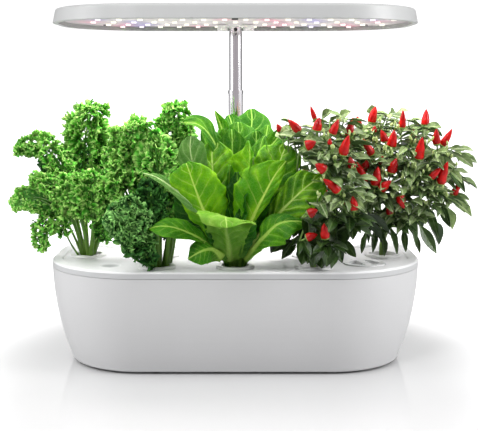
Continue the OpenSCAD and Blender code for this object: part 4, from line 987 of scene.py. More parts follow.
FRONT = (0.0, -0.9, 0.42)
romaine = [
    # name, rib (picture points and depth), upper face, outline (picture points), material, extra
    ("r01", [(229, 257, -98), (217, 236, -112), (204, 211, -122), (195, 188, -126), (188, 168, -126), (186, 163, -123)],
     (-0.15, -0.85, 0.5), [(167, 175), (167, 168), (172, 162), (184, 159), (198, 160), (208, 166), (219, 177), (227, 190), (228, 204),
                           (224, 215), (214, 224), (203, 227), (193, 222), (187, 216), (181, 200), (171, 186)], "rom_bright",
     dict(u0=0.94, cup=-0.3, fold=0.05, wave=(1.8, 3.4), pucker=2.2, slope=0.16)),
    ("r02", [(240, 257, -98), (246, 236, -112), (254, 215, -122), (264, 195, -124), (275, 175, -122), (286, 161, -118)],
     (0.1, -0.85, 0.5), [(287, 159), (287, 166), (281, 183), (268, 203), (255, 220), (247, 230), (239, 232), (235, 218), (232, 200), (235, 184),
                         (239, 175), (246, 167), (257, 162), (270, 160)], "rom_bright",
     dict(u0=0.93, cup=-0.25, fold=0.1, wave=(1.9, 3.2), pucker=2.2)),
    ("r03", [(230, 260, -103), (229, 246, -116), (227, 232, -126), (226, 221, -134), (226, 216, -142), (226, 219, -151), (227, 228, -156)],
     [(0, 0.9, 0.3), (0.05, 0.85, 0.5), (0.16, 0.2, 1), (0.2, -0.5, 0.85), (0.15, -0.9, 0.4)],
     [(0, 9, 9), (0.2, 14, 13), (0.45, 20, 18), (0.65, 26, 24), (0.85, 31, 29), (1, 25, 24)], "rom_flap",
     dict(u0=0.86, cup=0.04, fold=-0.04, wave=(3.2, 3.8), pucker=2.2, rib=(2.6, 1.6))),
    ("r04", [(227, 259, -102), (213, 249, -114), (197, 237, -126), (176, 228, -134), (160, 226, -136), (149, 229, -134)],
     (-0.1, -0.68, 0.74), [(148, 229), (152, 221), (163, 217), (184, 216), (198, 222), (208, 231), (214, 244), (200, 243), (187, 240), (163, 240), (153, 236)],
     "rom_mid", dict(u0=0.86, cup=-0.2, fold=0.12, wave=(1.2, 2.2), pucker=1.5)),
    ("r05", [(223, 258, -110), (214, 250, -120), (205, 250, -126), (196, 254, -128), (188, 259, -127)],
     (-0.1, -0.9, 0.35), [(218, 250), (212, 261), (203, 266), (193, 264), (187, 256), (188, 245), (196, 239), (206, 241)], "rom_mid",
     dict(u0=0.75, cup=-0.3, fold=0.05, wave=(0.8, 1.5), veins=5)),
    ("r06", [(244, 259, -103), (254, 248, -114), (264, 237, -122), (278, 224, -126), (296, 221, -126), (311, 225, -122)],
     (0.0, -0.82, 0.56), [(256, 240), (261, 223), (269, 212), (278, 209), (290, 214), (301, 220), (312, 225), (298, 229), (291, 238), (285, 244),
                          (270, 245), (262, 250), (255, 255), (250, 254)], "rom_mid",
     dict(u0=0.95, cup=-0.3, fold=0.08, wave=(2.0, 2.8), pucker=1.1)),
    ("r07", [(243, 257, -96), (258, 238, -104), (270, 223, -110), (282, 210, -112), (294, 198, -112), (306, 187, -110), (322, 175, -104)],
     (0.14, -0.74, 0.62), [(301, 166), (311, 167), (325, 175), (328, 184), (323, 199), (308, 214), (300, 217), (290, 223), (277, 230), (266, 236),
                         (262, 224), (268, 206), (280, 188), (291, 174)], "rom_quilt",
     dict(u0=0.95, cup=-0.25, fold=0.05, wave=(1.8, 3.0), pucker=2.7, veins=8)),
    ("r08", [(243, 252, -92), (254, 226, -96), (266, 198, -97), (276, 172, -94), (283, 153, -88), (286, 145, -84)],
     (0.05, -0.8, 0.6), [(259, 145), (272, 139), (289, 139), (299, 147), (303, 157), (297, 175), (294, 190), (286, 203), (274, 212), (262, 212), (254, 195),
                          (253, 175), (255, 158)], "rom_quilt",
     dict(u0=0.95, cup=-0.25, wave=(2.2, 2.8), pucker=2.8)),
    ("r09", [(243, 240, -76), (253, 195, -64), (262, 162, -58), (275, 141, -58), (291, 125, -60)],
     (0.0, -0.8, 0.6), [(291, 123), (293, 130), (291, 139), (280, 150), (268, 162), (258, 160), (259, 147), (266, 138), (278, 130)], "rom_mid",
     dict(u0=0.95, cup=0.3, fold=0.2, wave=(1.4, 2.4))),
    ("r10", [(232, 252, -92), (224, 222, -96), (217, 195, -98), (213, 172, -96), (212, 154, -90), (214, 141, -84)],
     (0.0, -0.92, 0.38), [(196, 158), (202, 143), (213, 136), (226, 140), (234, 152), (239, 166), (238, 184), (230, 200), (214, 206), (202, 192), (196, 174)],
     "rom_quilt", dict(u0=0.95, cup=-0.3, wave=(1.6, 2.6), pucker=2.6)),
    ("r11", [(228, 250, -92), (212, 212, -98), (199, 182, -100), (192, 160, -100), (190, 146, -98), (191, 136, -95)],
     (-0.1, -0.9, 0.4), [(177, 157), (180, 141), (189, 131), (200, 134), (206, 142), (207, 158), (206, 176), (196, 186), (184, 176)], "rom_soft",
     dict(u0=0.93, cup=0.3, wave=(1.0, 2.2), pucker=1.2)),
    ("r12", [(232, 244, -88), (227, 192, -86), (219, 154, -86), (209, 134, -86), (197, 124, -88), (183, 123, -92)],
     (0.0, -0.62, 0.8), [(179, 126), (185, 115), (197, 110), (210, 113), (214, 124), (216, 138), (222, 152), (212, 150), (198, 132), (184, 127)], "rom_mid",
     dict(u0=0.94, cup=0.35, wave=(1.0, 2.2))),
    ("r13", [(234, 210, -62), (229, 160, -46), (223, 132, -40), (215, 111, -36)],
     (-0.3, -0.9, 0.3), [(0, 4, 4), (0.6, 6, 8), (0.85, 3, 8), (1, 1, 1)], "rom_mid",
     dict(u0=0.95, cup=0.3, wave=(0.6, 1.5))),
    ("r14", [(236, 230, -74), (236, 185, -58), (237, 155, -48), (239, 138, -44), (238, 122, -38)],
     (0.0, -0.85, 0.5), [(0, 6, 6), (0.5, 18, 18), (0.8, 27, 24), (1, 20, 18)], "rom_upper",
     dict(u0=0.86, cup=-0.35, wave=(2.0, 2.8), pucker=1.5)),
    ("r14b", [(240, 230, -78), (246, 190, -66), (252, 164, -58), (256, 146, -54), (256, 131, -50)],
     (0.1, -0.85, 0.5), [(0, 6, 6), (0.5, 14, 14), (0.8, 20, 19), (1, 14, 14)], "rom_upper",
     dict(u0=0.86, cup=-0.3, wave=(2.0, 2.8), pucker=1.4)),
    ("r15", [(238, 220, -60), (244, 165, -34), (250, 135, -20), (252, 121, -14), (251, 109, -8)],
     (0.0, -0.8, 0.6), [(0, 6, 6), (0.5, 17, 17), (0.8, 23, 23), (1, 18, 18)], "rom_upper",
     dict(u0=0.86, cup=-0.35, wave=(1.8, 2.6), pucker=1.2)),
    ("r15b", [(233, 225, -62), (230, 172, -40), (231, 142, -28), (232, 126, -20), (229, 115, -14)],
     (0.0, -0.8, 0.6), [(0, 6, 6), (0.5, 14, 15), (0.8, 17, 20), (1, 12, 14)], "rom_upper",
     dict(u0=0.86, cup=-0.35, wave=(1.8, 2.6), pucker=1.2)),
    ("r16", [(242, 230, -66), (254, 180, -44), (262, 150, -32), (266, 136, -26), (268, 125, -22)],
     (0.1, -0.85, 0.5), [(0, 4, 4), (0.5, 7, 7), (0.85, 11, 11), (1, 8, 8)], "rom_upper",
     dict(u0=0.86, cup=0.2, wave=(1.0, 2.4))),
    # the folded heart leaves in the middle
    ("r17a", [(238, 252, -98), (242, 225, -102), (246, 200, -104), (249, 176, -102), (250, 157, -98), (249, 141, -94)],
     (-0.75, -0.55, 0.4), [(0, 7, 7), (0.35, 13, 13), (0.7, 18, 17), (0.88, 17, 16), (1, 9, 9)], "rom_bright",
     dict(u0=0.8, cup=1.0, fold=0.2, wave=(2.6, 4.2), pucker=1.6)),
    ("r17b", [(236, 252, -98), (234, 226, -104), (231, 202, -107), (229, 182, -106), (230, 165, -102)],
     (0.6, -0.7, 0.4), [(0, 6, 6), (0.4, 10, 10), (0.75, 12, 12), (1, 6, 6)], "rom_mid",
     dict(u0=0.78, cup=1.0, fold=0.2, wave=(2.2, 4.0), pucker=1.4)),
    ("r17c", [(236, 254, -106), (237, 232, -112), (238, 210, -115), (238, 190, -114), (237, 172, -110)],
     (-0.4, -0.8, 0.4), [(0, 8, 8), (0.4, 13, 13), (0.75, 14, 14), (1, 8, 8)], "rom_dark",
     dict(u0=0.75, cup=0.8, fold=0.1, wave=(2.4, 3.6), pucker=1.6)),
    ("r17e", [(240, 252, -100), (250, 228, -104), (258, 206, -104), (263, 186, -100), (266, 168, -94)],
     (-0.3, -0.85, 0.4), [(0, 6, 6), (0.4, 12, 12), (0.75, 15, 15), (1, 9, 9)], "rom_dark",
     dict(u0=0.72, cup=0.4, fold=0.1, wave=(2.0, 3.6), pucker=1.5)),
    ("r17f", [(238, 248, -92), (243, 215, -90), (246, 185, -86), (247, 165, -82), (247, 152, -78)],
     (0.1, -0.9, 0.35), [(0, 7, 7), (0.4, 14, 14), (0.8, 17, 17), (1, 11, 11)], "rom_pale",
     dict(u0=0.72, cup=0.5, fold=0.1, wave=(2.4, 4.2), pucker=1.6)),
    ("r18", [(227, 252, -106), (211, 226, -118), (190, 202, -124), (170, 186, -126), (156, 177, -125), (143, 173, -122)],
     (-0.1, -0.6, 0.8), [(142, 173), (158, 171), (168, 175), (176, 187), (190, 200), (200, 212), (192, 214), (176, 198), (168, 190), (158, 184)], "rom_soft",
     dict(u0=0.92, cup=-0.3, fold=0.1, wave=(0.9, 2.0))),
    ("r19", [(228, 256, -104), (213, 238, -112), (199, 220, -114), (186, 205, -114), (176, 192, -112)],
     (-0.1, -0.9, 0.4), [(0, 7, 7), (0.4, 14, 12), (0.75, 16, 13), (1, 8, 8)], "rom_dark",
     dict(u0=0.75, cup=-0.2, wave=(1.8, 2.6), pucker=1.1)),
    ("r20", [(236, 256, -106), (240, 242, -113), (244, 226, -118), (246, 214, -118), (247, 205, -115)],
     (0.1, -0.9, 0.3), [(0, 8, 8), (0.5, 15, 14), (1, 9, 9)], "rom_dark", dict(u0=0.7, cup=0.4)),
    ("r21", [(232, 256, -106), (224, 242, -112), (217, 228, -116), (212, 216, -116), (208, 206, -114)],
     (-0.1, -0.9, 0.3), [(0, 8, 8), (0.5, 13, 13), (1, 9, 9)], "rom_dark", dict(u0=0.7, cup=0.4)),
]


def round_rosette(n, cx, cy, seed, az0, az1, z_tip, reach, mats, base=8, prefix="rb"):
    """Leaves on the sides that the front view doesn't show."""
    rng = np.random.RandomState(seed)
    out = []
    for i in range(n):
        az = math.radians(az0 + (az1 - az0) * (i + 0.5) / n + rng.uniform(-8, 8))
        d = np.array([math.cos(az), math.sin(az), 0])
        re = rng.uniform(*reach)
        zt = rng.uniform(*z_tip)
        o = np.array([cx, cy, 0]) + d * base
        pts = [o + [0, 0, 111], o + d * 0.3 * re + [0, 0, 111 + 0.38 * (zt - 111)], o + d * 0.62 * re + [0, 0, 111 + 0.72 * (zt - 111)],
               o + d * 0.88 * re + [0, 0, 111 + 0.95 * (zt - 111)], o + d * re + [0, 0, zt]]
        inner = -d * 0.8 + np.array([0, 0, 0.6])
        w = rng.uniform(19, 25)
        out.append((prefix + str(i), np.array(pts), inner, [(0, 7, 7), (0.3, 0.55 * w, 0.55 * w), (0.65, w, w), (0.88, 0.9 * w, 0.9 * w), (1, 0.6 * w, 0.6 * w)],
                    mats[i % len(mats)], dict(u0=0.74, cup=rng.uniform(0.15, 0.45), wave=(rng.uniform(1.4, 2.4), 2.6), pucker=1.0)))
    return out


back_rom = round_rosette(6, 0, -93.3, 5, 25, 155, (190, 250), (52, 78), ["rom_upper", "rom_mid", "rom_dark"], prefix="rb")
back_rom += round_rosette(5, 0, -93.3, 9, 35, 145, (230, 262), (24, 44), ["rom_upper", "rom_dark"], base=5, prefix="rc")
for i, row in enumerate(romaine + back_rom):
    nm, path, hint, half, mat, extra = row
    rng = np.random.RandomState(100 + i)
    pts = PP(path) if isinstance(path, list) else path
    if len(half[0]) == 2:
        half = outlined(path, half)
    bag = Bag()
    blade(bag, pts, hint, half, rng, **extra)
    bag.make("romaine_" + nm, M[mat], "pod_3", "romaine", ["romaine"])

# ------------------------------------------------------------------ ornamental chilli
def chilli_leaf_mat(name, dark, light, sheen_c):
    m = Mat(name)
    u, v, rnd = m.attr("leaf_a")
    side, off, tone = m.attr("leaf_b")
    av = m.math("ABSOLUTE", v)
    q = m.math("MULTIPLY", m.math("SUBTRACT", u, m.math("MULTIPLY", av, 0.22)), 6.0)
    tri = m.math("ABSOLUTE", m.math("SUBTRACT", m.math("FRACT", q), 0.5))
    vein = m.math("MULTIPLY", m.span(tri, 0.38, 0.5), m.span(av, 0.1, 0.95, 0.8, 0.1))
    rib = m.span(off, 0.35, 0.9, 1, 0)
    col = m.mix(m.span(m.noise(90, 4, 0.6), 0.3, 0.7), dark, light)
    col = m.mix(m.math("MULTIPLY", rnd, 0.45), col, light)
    # painted shade: tone darkens a leaf; leaves set further in get more
    col = m.mix(tone, col, dark)
    # painted sheen along the veins and the rib, partly their own paler colour
    col = m.mix(m.math("MULTIPLY", vein, 0.3), col, sheen_c)
    col = m.mix(m.math("MULTIPLY", rib, 0.55), col, sheen_c)
    col = m.mix(m.span(av, 0.8, 1.0, 0, 0.35), col, dark)
    # painted shade: the back face painted darker
    col = m.mix(m.math("MULTIPLY", side, 0.8), col, dark)
    nrm = m.bump(m.math("MULTIPLY", vein, -1.0), 0.5, 0.0004)
    m.set(colour=col, rough=m.span(m.noise(150, 3), 0.3, 0.7, 0.26, 0.4), spec=0.46, normal=nrm)
    m.through(m.mix(0.4, col, light), 0.16)
    return m.m


M["ch_leaf"] = chilli_leaf_mat("chilli_leaf", lin(44, 80, 28), lin(184, 210, 138), lin(216, 226, 186))
# darker copies for the leaves low under each crown: painted shade
M["ch_leaf_low_left"] = chilli_leaf_mat("chilli_leaf_low_left", lin(22, 48, 13), lin(70, 102, 38), lin(100, 128, 68))
M["ch_leaf_low_right"] = chilli_leaf_mat("chilli_leaf_low_right", lin(36, 64, 26), lin(86, 118, 58), lin(126, 150, 98))
M["ch_bud"] = chilli_leaf_mat("chilli_bud", lin(150, 186, 84), lin(196, 218, 132), lin(214, 230, 160))

m = Mat("chilli_fruit")
u, v, rnd = m.attr("leaf_a")
skin = m.noise(110, 4, 0.6)
red = m.mix(m.span(skin, 0.3, 0.7), lin(214, 12, 8), lin(158, 6, 5))
# darker red where the fruit's darkening value is high
red = m.mix(m.math("MULTIPLY", rnd, 0.6), red, lin(96, 4, 5))
red = m.mix(m.span(u, 0.0, 0.16, 0.35, 0.0), red, lin(214, 92, 18))
m.set(colour=red, rough=0.3, coat=0.14, coat_rough=0.06, spec=0.22, normal=m.bump(m.noise(260, 3), 0.18, 0.0004),
      sss=0.03, sss_radius=(0.003, 0.0006, 0.0004), sss_scale=1.0)
M["fruit"] = m.m

CH = {
    # pod, node, stem foot, crown centre, half sizes
    "left": dict(pod="pod_4", node="chilli_left", foot=np.array([81.2, -93.3, 108.0]), c=np.array([86, -92, 190.0]), r=np.array([58, 50, 78.0])),
    "right": dict(pod="pod_5", node="chilli_right", foot=np.array([162.4, -21.6, 108.0]), c=np.array([172, -22, 196.0]), r=np.array([82, 62, 80.0])),
}


def on_crown(which, px, py, sink=0.0):
    """Where the line of sight of a picture position meets the front of that plant's crown."""
    g = CH[which]
    c, r = g["c"], g["r"] * (1 - sink)
    p0 = P(px, py, c[1])
    d = norm(p0 - EYE)
    oc = (EYE - c) / r
    dd = d / r
    A, B, C = dd @ dd, 2 * oc @ dd, oc @ oc - 1
    disc = B * B - 4 * A * C
    if disc <= 0:
        return p0
    return EYE + d * ((-B - math.sqrt(disc)) / (2 * A))


def Q(p):
    """Picture position of a point in mm."""
    d = np.asarray(p, float) - EYE
    f = d[1] * math.cos(PITCH) - d[2] * math.sin(PITCH)
    return 239 + FOCAL * d[0] / f, 215.5 - FOCAL * (d[1] * math.sin(PITCH) + d[2] * math.cos(PITCH)) / f


def behind_romaine(p):
    """Whether a point of the left chilli plant would show in front of the romaine's right-hand leaves."""
    qx, qy = Q(p)
    return qx < 1.5 + np.interp(qy, [100, 134, 139, 147, 157, 165, 167, 175, 184, 199, 214, 217, 225, 229, 238, 244, 256, 262],
                                [262, 266, 290, 299, 303, 301, 311, 325, 328, 323, 308, 300, 312, 298, 291, 285, 262, 250])


CAPS = [(137, -68, 29), (81.2, -21.6, 29), (0, -21.6, 29)]


def over_cap(*points):
    """Whether a leaf's point hangs in the room that a cap needs above it to lift off."""
    return any(p[2] < 136 and math.hypot(p[0] - x, p[1] - y) < r for p in points for x, y, r in CAPS)


def small_leaf(bag, o, d, L, w, rng, droop=0.5, tone=0.0, up=(0, 0, 1), twist=0.0):
    d = norm(np.asarray(d, float))
    upv = norm(np.asarray(up, float) + 0.0)
    s = np.array([0, 0.14, 0.32, 0.55, 0.8, 1.0])
    bend = rng.normal(size=3) * 0.06
    pts = o + L * (s[:, None] * d + (s ** 2)[:, None] * (bend + np.array([0, 0, -1]) * droop * 0.55))
    roll = rng.uniform(-0.7, 0.7) + twist
    h = turn(upv, d, roll)
    half = [(0, 0.5, 0.5), (0.12, 0.7, 0.7), (0.22, 0.45 * w, 0.45 * w), (0.45, w, w), (0.7, 0.8 * w, 0.8 * w), (0.88, 0.4 * w, 0.4 * w), (1, 0.05, 0.05)]
    blade(bag, pts, h, half, rng, nu=11, nv=6, u0=0.985, cup=0.35, fold=rng.uniform(0.15, 0.6), wave=(0.07 * w, 1.6), pucker=0.22,
          veins=6, rib=(0.5, 0.5), thick=0.36, tone=tone)


def fruit(bf, bg, base, d, L, r, rng, darkening):
    """An upright pepper with its cap and stalk end."""
    d = norm(np.asarray(d, float))
    side = norm(np.cross(d, rng.normal(size=3)))
    s = np.linspace(0, 1, 17)
    c = base + L * (s[:, None] * d + (0.10 * s ** 2)[:, None] * side)
    prof = np.interp(s, [0, 0.04, 0.11, 0.22, 0.42, 0.62, 0.8, 0.92, 1], [0.5, 0.82, 0.98, 1, 0.92, 0.74, 0.5, 0.27, 0.08])
    bf.tube(c, r * prof * (1 + 0.03 * np.sin(s * 17 + rng.uniform(0, 6))), 14, a=(0, 0, darkening), ridges=0.025)
    cc = base + np.linspace(-1.6, 1.4, 6)[:, None] * d
    bg.tube(cc, r * np.array([0.25, 0.55, 0.8, 0.9, 0.92, 0.86]), 10, a=(0, 0, 1), ridges=0.05)


def twig(bag, a, b, r0, r1, rng, sag=0.0):
    a, b = np.asarray(a, float), np.asarray(b, float)
    mid = (a + b) / 2 + rng.normal(size=3) * 0.06 * np.linalg.norm(b - a) + np.array([0, 0, -sag])
    c, _ = crom([a, mid, b], 9)
    bag.tube(c, np.linspace(r0, r1, 9), 7, a=(0, 0, rng.uniform()))


# picture centre, length and width in picture points, lean to the right in degrees, plant, darkness of the red (0 bright
# .. 1 dark), how far it sits back into the crown
FRUITS = [
    (312.9, 112.8, 14, 5, -19, "left", 0.2, 0.0), (317.5, 124.4, 13, 9, 5, "left", 0.1, 0), (294.4, 125.8, 16, 8.5, -40, "left", 0.3, 0),
    (279, 127.7, 8, 6, -20, "left", 0.7, 0.25), (334.8, 127.4, 15.5, 8, 20, "left", 0.2, 0), (357.9, 121.5, 10, 7.5, -10, "right", 0.6, 0.1),
    (372.8, 114.8, 16, 8.5, 8, "right", 0.1, 0), (403, 119.8, 17, 6.8, 4, "right", 0.2, 0), (436, 137.2, 15, 8, -10, "right", 0.6, 0),
    (447.1, 138.2, 18.5, 7.6, 31, "right", 0.3, 0), (420.4, 148.8, 22, 9.6, 8, "right", 0.1, 0), (345, 145.7, 21, 9.6, 13, "left", 0.1, 0),
    (310.5, 144.5, 11, 10, 70, "left", 0.5, 0), (367.4, 147.8, 18.5, 8, -38, "right", 0.4, 0), (383.8, 136, 12, 7.6, -18, "right", 0.7, 0.1),
    (393.3, 139.1, 16.5, 9, 14, "right", 0.15, 0), (320.6, 167.3, 12, 10, -50, "left", 0.5, 0), (361.5, 173, 22, 10, -15, "right", 0.1, 0),
    (376.4, 176.8, 18.5, 10.5, 5, "right", 0.2, 0), (385.4, 185.6, 14, 9, 52, "right", 0.2, 0), (393, 166, 15, 9.5, 12, "right", 0.75, 0.06),
    (443, 173.4, 23.5, 9, 10, "right", 0.15, 0), (435.2, 173, 14, 7, 38, "right", 0.35, 0), (332, 185, 21, 9, -46, "left", 0.2, 0),
    (353.6, 203.9, 14, 9, -8, "left", 0.2, 0), (401.3, 201.6, 13, 9, 168, "right", 0.25, 0), (312.5, 212, 10, 9.5, 60, "left", 0.8, 0),
    (324.4, 231.3, 16, 9, -10, "left", 0.3, 0), (311.4, 236, 11, 8.5, 65, "left", 0.4, 0), (329.7, 141.7, 6, 5, 0, "left", 0.0, 0.1),
    (389, 209, 11, 8, -20, "right", 0.85, 0.12), (374.7, 129, 6, 5, 10, "right", 0.5, 0.12), (351, 163, 11, 8, -20, "left", 0.8, 0.06),
    (366, 165.5, 11, 8, 20, "right", 0.85, 0.1), (382, 160.5, 9, 6, 10, "right", 0.8, 0.12),
]


BUDS = [(435, 190), (395, 128), (364, 190), (391, 152), (414, 169), (432, 196), (440, 186), (446, 193), (424, 203), (428, 168), (419, 176),
        (410, 166), (398, 158), (386, 150), (376, 141), (352, 136), (340, 124), (326, 135), (334, 158), (324, 178), (346, 178), (352, 168),
        (366, 184), (357, 192), (372, 195), (384, 172), (404, 180), (412, 190), (420, 158), (436, 156), (450, 158), (456, 166), (445, 199),
        (381, 124), (412, 141), (330, 150), (343, 196), (318, 196), (448, 148), (427, 142)]


def chilli_plant(which, seed, spare, tips, skirt):
    g = CH[which]
    rng = np.random.RandomState(seed)
    pod, node, foot, c, r = g["pod"], g["node"], g["foot"], g["c"], g["r"]
    leaves, low, fruits, green, stems, buds = Bag(), Bag(), Bag(), Bag(), Bag(), Bag()
    # main stem and forks
    forks = []
    top = foot + np.array([0, 0, 22.0])
    cc, _ = crom([foot + [0.5, 0, -6], foot + [-0.8, 0.5, 8], top], 8)
    stems.tube(cc, np.linspace(3.3, 2.7, 8), 10, a=(0, 0, 0.1))
    for i in range(7):
        az = 2 * math.pi * i / 7 + rng.uniform(-0.3, 0.3)
        b = c + r * np.array([math.cos(az) * 0.42, math.sin(az) * 0.42, rng.uniform(-0.35, 0.05)])
        twig(stems, top - [0, 0, rng.uniform(0, 8)], b, 2.3, 1.6, rng, -4)
        forks.append(b)
    forks = np.array(forks)
    nodes_at = []
    for (px, py, L, w, tilt, plant, darkening, sink) in FRUITS:
        if plant != which:
            continue
        p = on_crown(which, px, py, sink)
        p = p + norm(EYE - p) * 6
        s = np.linalg.norm(p - EYE) / FOCAL
        a = math.radians(tilt)
        d = norm(np.array([math.sin(a), -0.2, math.cos(a)]))
        base = p - d * L * s * 0.5
        fruit(fruits, green, base, d, L * s * 1.05, w * s * 0.52, rng, darkening)
        hub = base - d * 7.0 + np.array([0, 7.0, -1.5])
        twig(stems, hub, base - d * 1.2, 0.85, 0.95, rng)
        nodes_at.append((hub, 1.0))
    for px, py, sink in spare:
        nodes_at.append((on_crown(which, px, py, sink + 0.03), 0.95))
    # the far side
    for i in range(17):
        az = rng.uniform(0.03, 0.97) * math.pi
        el = rng.uniform(-0.35, 1.0)
        v = np.array([math.cos(az) * math.cos(el), math.sin(az) * math.cos(el), math.sin(el)])
        nodes_at.append((c + r * v * 0.9, 1.0))
        if i % 3 == 0:
            b = c + r * v * np.array([0.95, 0.95, 0.86])
            d = norm(v * 0.5 + np.array([0, 0, 1.0]))
            fruit(fruits, green, b, d, rng.uniform(16, 21), rng.uniform(4, 4.8), rng, rng.uniform(0, 0.5))
    sheets = [Bag() for _ in range(3)]
    count = 0
    for hub, size in nodes_at:
        k = int(np.argmin(np.linalg.norm(forks - hub, axis=1)))
        twig(stems, forks[k], hub, 1.25, 0.8, rng, -3)
        out = norm((hub - c) / r)
        inward = norm(forks[k] - hub)
        a0 = rng.uniform(0, 6.28)
        n = rng.randint(7, 10)
        for j in range(n):
            az = a0 + 2.4 * j + rng.uniform(-0.3, 0.3)
            tier = j / n
            flat = np.array([math.cos(az), math.sin(az), 0])
            d = norm(flat + 0.25 * out * [1, 1, 0.3] + np.array([0, 0, rng.uniform(-0.2, 0.38) - 0.3 * tier]))
            L = rng.uniform(16, 23) * size * (1 + 0.3 * tier)
            root = hub + inward * 11 * tier * tier + np.array([0, 0, -rng.uniform(0, 3)])
            if which == "left" and root[1] < -60:
                if behind_romaine(root + d * L) or behind_romaine(root + d * L * 0.5):
                    d = norm(d + np.array([0.9, 0.6, 0.1]))
                    if behind_romaine(root + d * L) or behind_romaine(root + d * L * 0.5):
                        continue
            # painted shade: leaves low on the front of the crown take the darker low-leaf material, and tone grows with
            # the tier, painting leaves further in darker
            dim = hub[1] < -20 and Q(hub)[1] > (210 if which == "left" else 216)
            small_leaf(low if dim else sheets[count * 3 // (11 * len(nodes_at)) % 3], root + d * 1.5, d, L, L * rng.uniform(0.17, 0.23), rng,
                       droop=rng.uniform(0.1, 0.7), tone=min(0.85, rng.uniform(0, 0.28) + 0.5 * tier), up=norm(np.array([0, -0.4, 1]) + 0.3 * out))
            count += 1
    for bx, by in BUDS:
        if (bx < 356) != (which == "left"):
            continue
        p = on_crown(which, bx, by, 0.0)
        p = p + norm(EYE - p) * 4
        for j in range(rng.randint(2, 4)):
            q = p + rng.normal(size=3) * np.array([2.2, 1.0, 1.6])
            d = norm(np.array([rng.uniform(-0.6, 0.6), -0.2, 1.0]))
            e = np.linspace(0, 1, 7)
            buds.tube(q + e[:, None] * d * 4.6, 1.25 * np.array([0.35, 0.8, 1.0, 1.0, 0.9, 0.7, 0.25]), 7, a=(0, 0, rng.uniform()))
            twig(stems, p + np.array([0, 7, -7.0]), q, 0.7, 0.45, rng)
    for px, py, y, bx, by, L, w in tips:
        tip, b = P(px, py, y), P(bx, by, y + 4)
        d = tip - b
        small_leaf(leaves, b, norm(d + np.array([0, 0, 0.16 * np.linalg.norm(d)])), np.linalg.norm(d) * 1.02, w, rng, droop=0.3, tone=0.15,
                   up=(0, -0.5, 0.8))
        k = int(np.argmin(np.linalg.norm(forks - b, axis=1)))
        twig(stems, forks[k], b, 1.1, 0.6, rng, -2)
    for px, py, y, bx, by, w, front in skirt:
        if which == "left" and front:
            py -= 3
        while over_cap(P(px, py, y), P(0.6 * px + 0.4 * bx, 0.6 * py + 0.4 * by, y)):
            y += 4
        tip, b = P(px, py, y), P(bx, by, y + 6)
        d = tip - b
        small_leaf(low, b, norm(d + np.array([0, -0.1, 0.2]) * np.linalg.norm(d)), np.linalg.norm(d) * 1.04, w, rng, droop=0.25,
                   tone=rng.uniform(0.0, 0.5), up=(rng.uniform(-0.3, 0.3), -0.9, 0.45))
        twig(stems, top + [0, 0, rng.uniform(2, 30)], b, 1.3, 0.7, rng, -3)
    # hanging leaves about the back and sides
    for i in range(12):
        az = rng.uniform(0.0, 1.0) * math.pi
        v = np.array([math.cos(az), math.sin(az), 0])
        b = c + r * np.array([v[0] * 0.75, v[1] * 0.75, -0.45 + rng.uniform(-0.15, 0.2)])
        d, L, w = norm(v + np.array([0, 0, -0.9])), rng.uniform(32, 44), rng.uniform(7, 9.5)
        for _ in range(6):
            if over_cap(b + d * L - [0, 0, 0.25 * L], b + d * 0.7 * L - [0, 0, 0.1 * L]):
                d, L = norm(d + np.array([0, 0, 0.3])), L * 0.93
        small_leaf(low, b, d, L, w, rng, droop=0.4, tone=0.3, up=norm(v + np.array([0, 0, 0.5])))
        twig(stems, top + [0, 0, rng.uniform(2, 30)], b, 1.3, 0.7, rng, -3)
    for i, sheet in enumerate(sheets):
        if sheet.v:
            sheet.make(node + "_leaves_%d" % (i + 1), M["ch_leaf"], pod, "chilli", [node])
    leaves.make(node + "_tip_leaves", M["ch_leaf"], pod, "chilli")
    low.make(node + "_low_leaves", M["ch_leaf_low_" + which], pod, "chilli")
    buds.make(node + "_buds", M["ch_bud"], pod, "chilli")
    fruits.make(node + "_fruits", M["fruit"], pod, "chilli")
    green.make(node + "_fruit_caps", M["chilli_stalk"], pod, "chilli")
    stems.make(node + "_stems", M["chilli_stalk"], pod, "chilli")


chilli_plant("left", 7,
             [(300, 135, 0.05), (288, 140, 0.1), (322, 152, 0), (303, 158, 0.05), (340, 162, 0), (330, 120, 0.1), (350, 150, 0.1),
              (312, 180, 0.05), (322, 197, 0), (340, 200, 0), (350, 188, 0), (360, 195, 0.1), (306, 200, 0.1), (335, 215, 0), (350, 225, 0.1),
              (345, 118, 0.05), (290, 128, 0.15)],
             [(279, 118, -80, 292, 124, 22, 5), (332, 109, -88, 322, 119, 20, 5), (350, 112, -88, 338, 118, 20, 5)],
             [(299, 248, -112, 312, 214, 9, 1), (306, 262, -120, 312, 226, 10, 1), (316, 264, -128, 320, 228, 10, 1), (328, 262, -124, 328, 226, 11, 1),
              (338, 252, -118, 334, 216, 10, 1), (345, 240, -112, 342, 206, 9, 1), (272, 253, -100, 292, 240, 5, 0), (286, 254, -96, 298, 236, 6, 0),
              (354, 256, -100, 342, 238, 6, 0), (322, 250, -132, 318, 222, 9, 1), (310, 240, -124, 306, 208, 8, 1), (334, 236, -128, 336, 204, 8, 1),
              (297, 232, -100, 306, 206, 8, 0), (303, 266, -112, 309, 240, 9, 1), (312, 268, -117, 315, 242, 10, 1), (322, 268, -117, 322, 240, 10, 1),
              (331, 266, -112, 328, 238, 9, 1), (317, 260, -120, 315, 234, 9, 1), (327, 260, -120, 327, 232, 9, 1), (307, 258, -118, 310, 230, 9, 1), (352, 235, -100, 352, 205, 8, 0), (302, 256, -104, 308, 236, 7, 1), (340, 262, -104, 332, 240, 6, 1)])
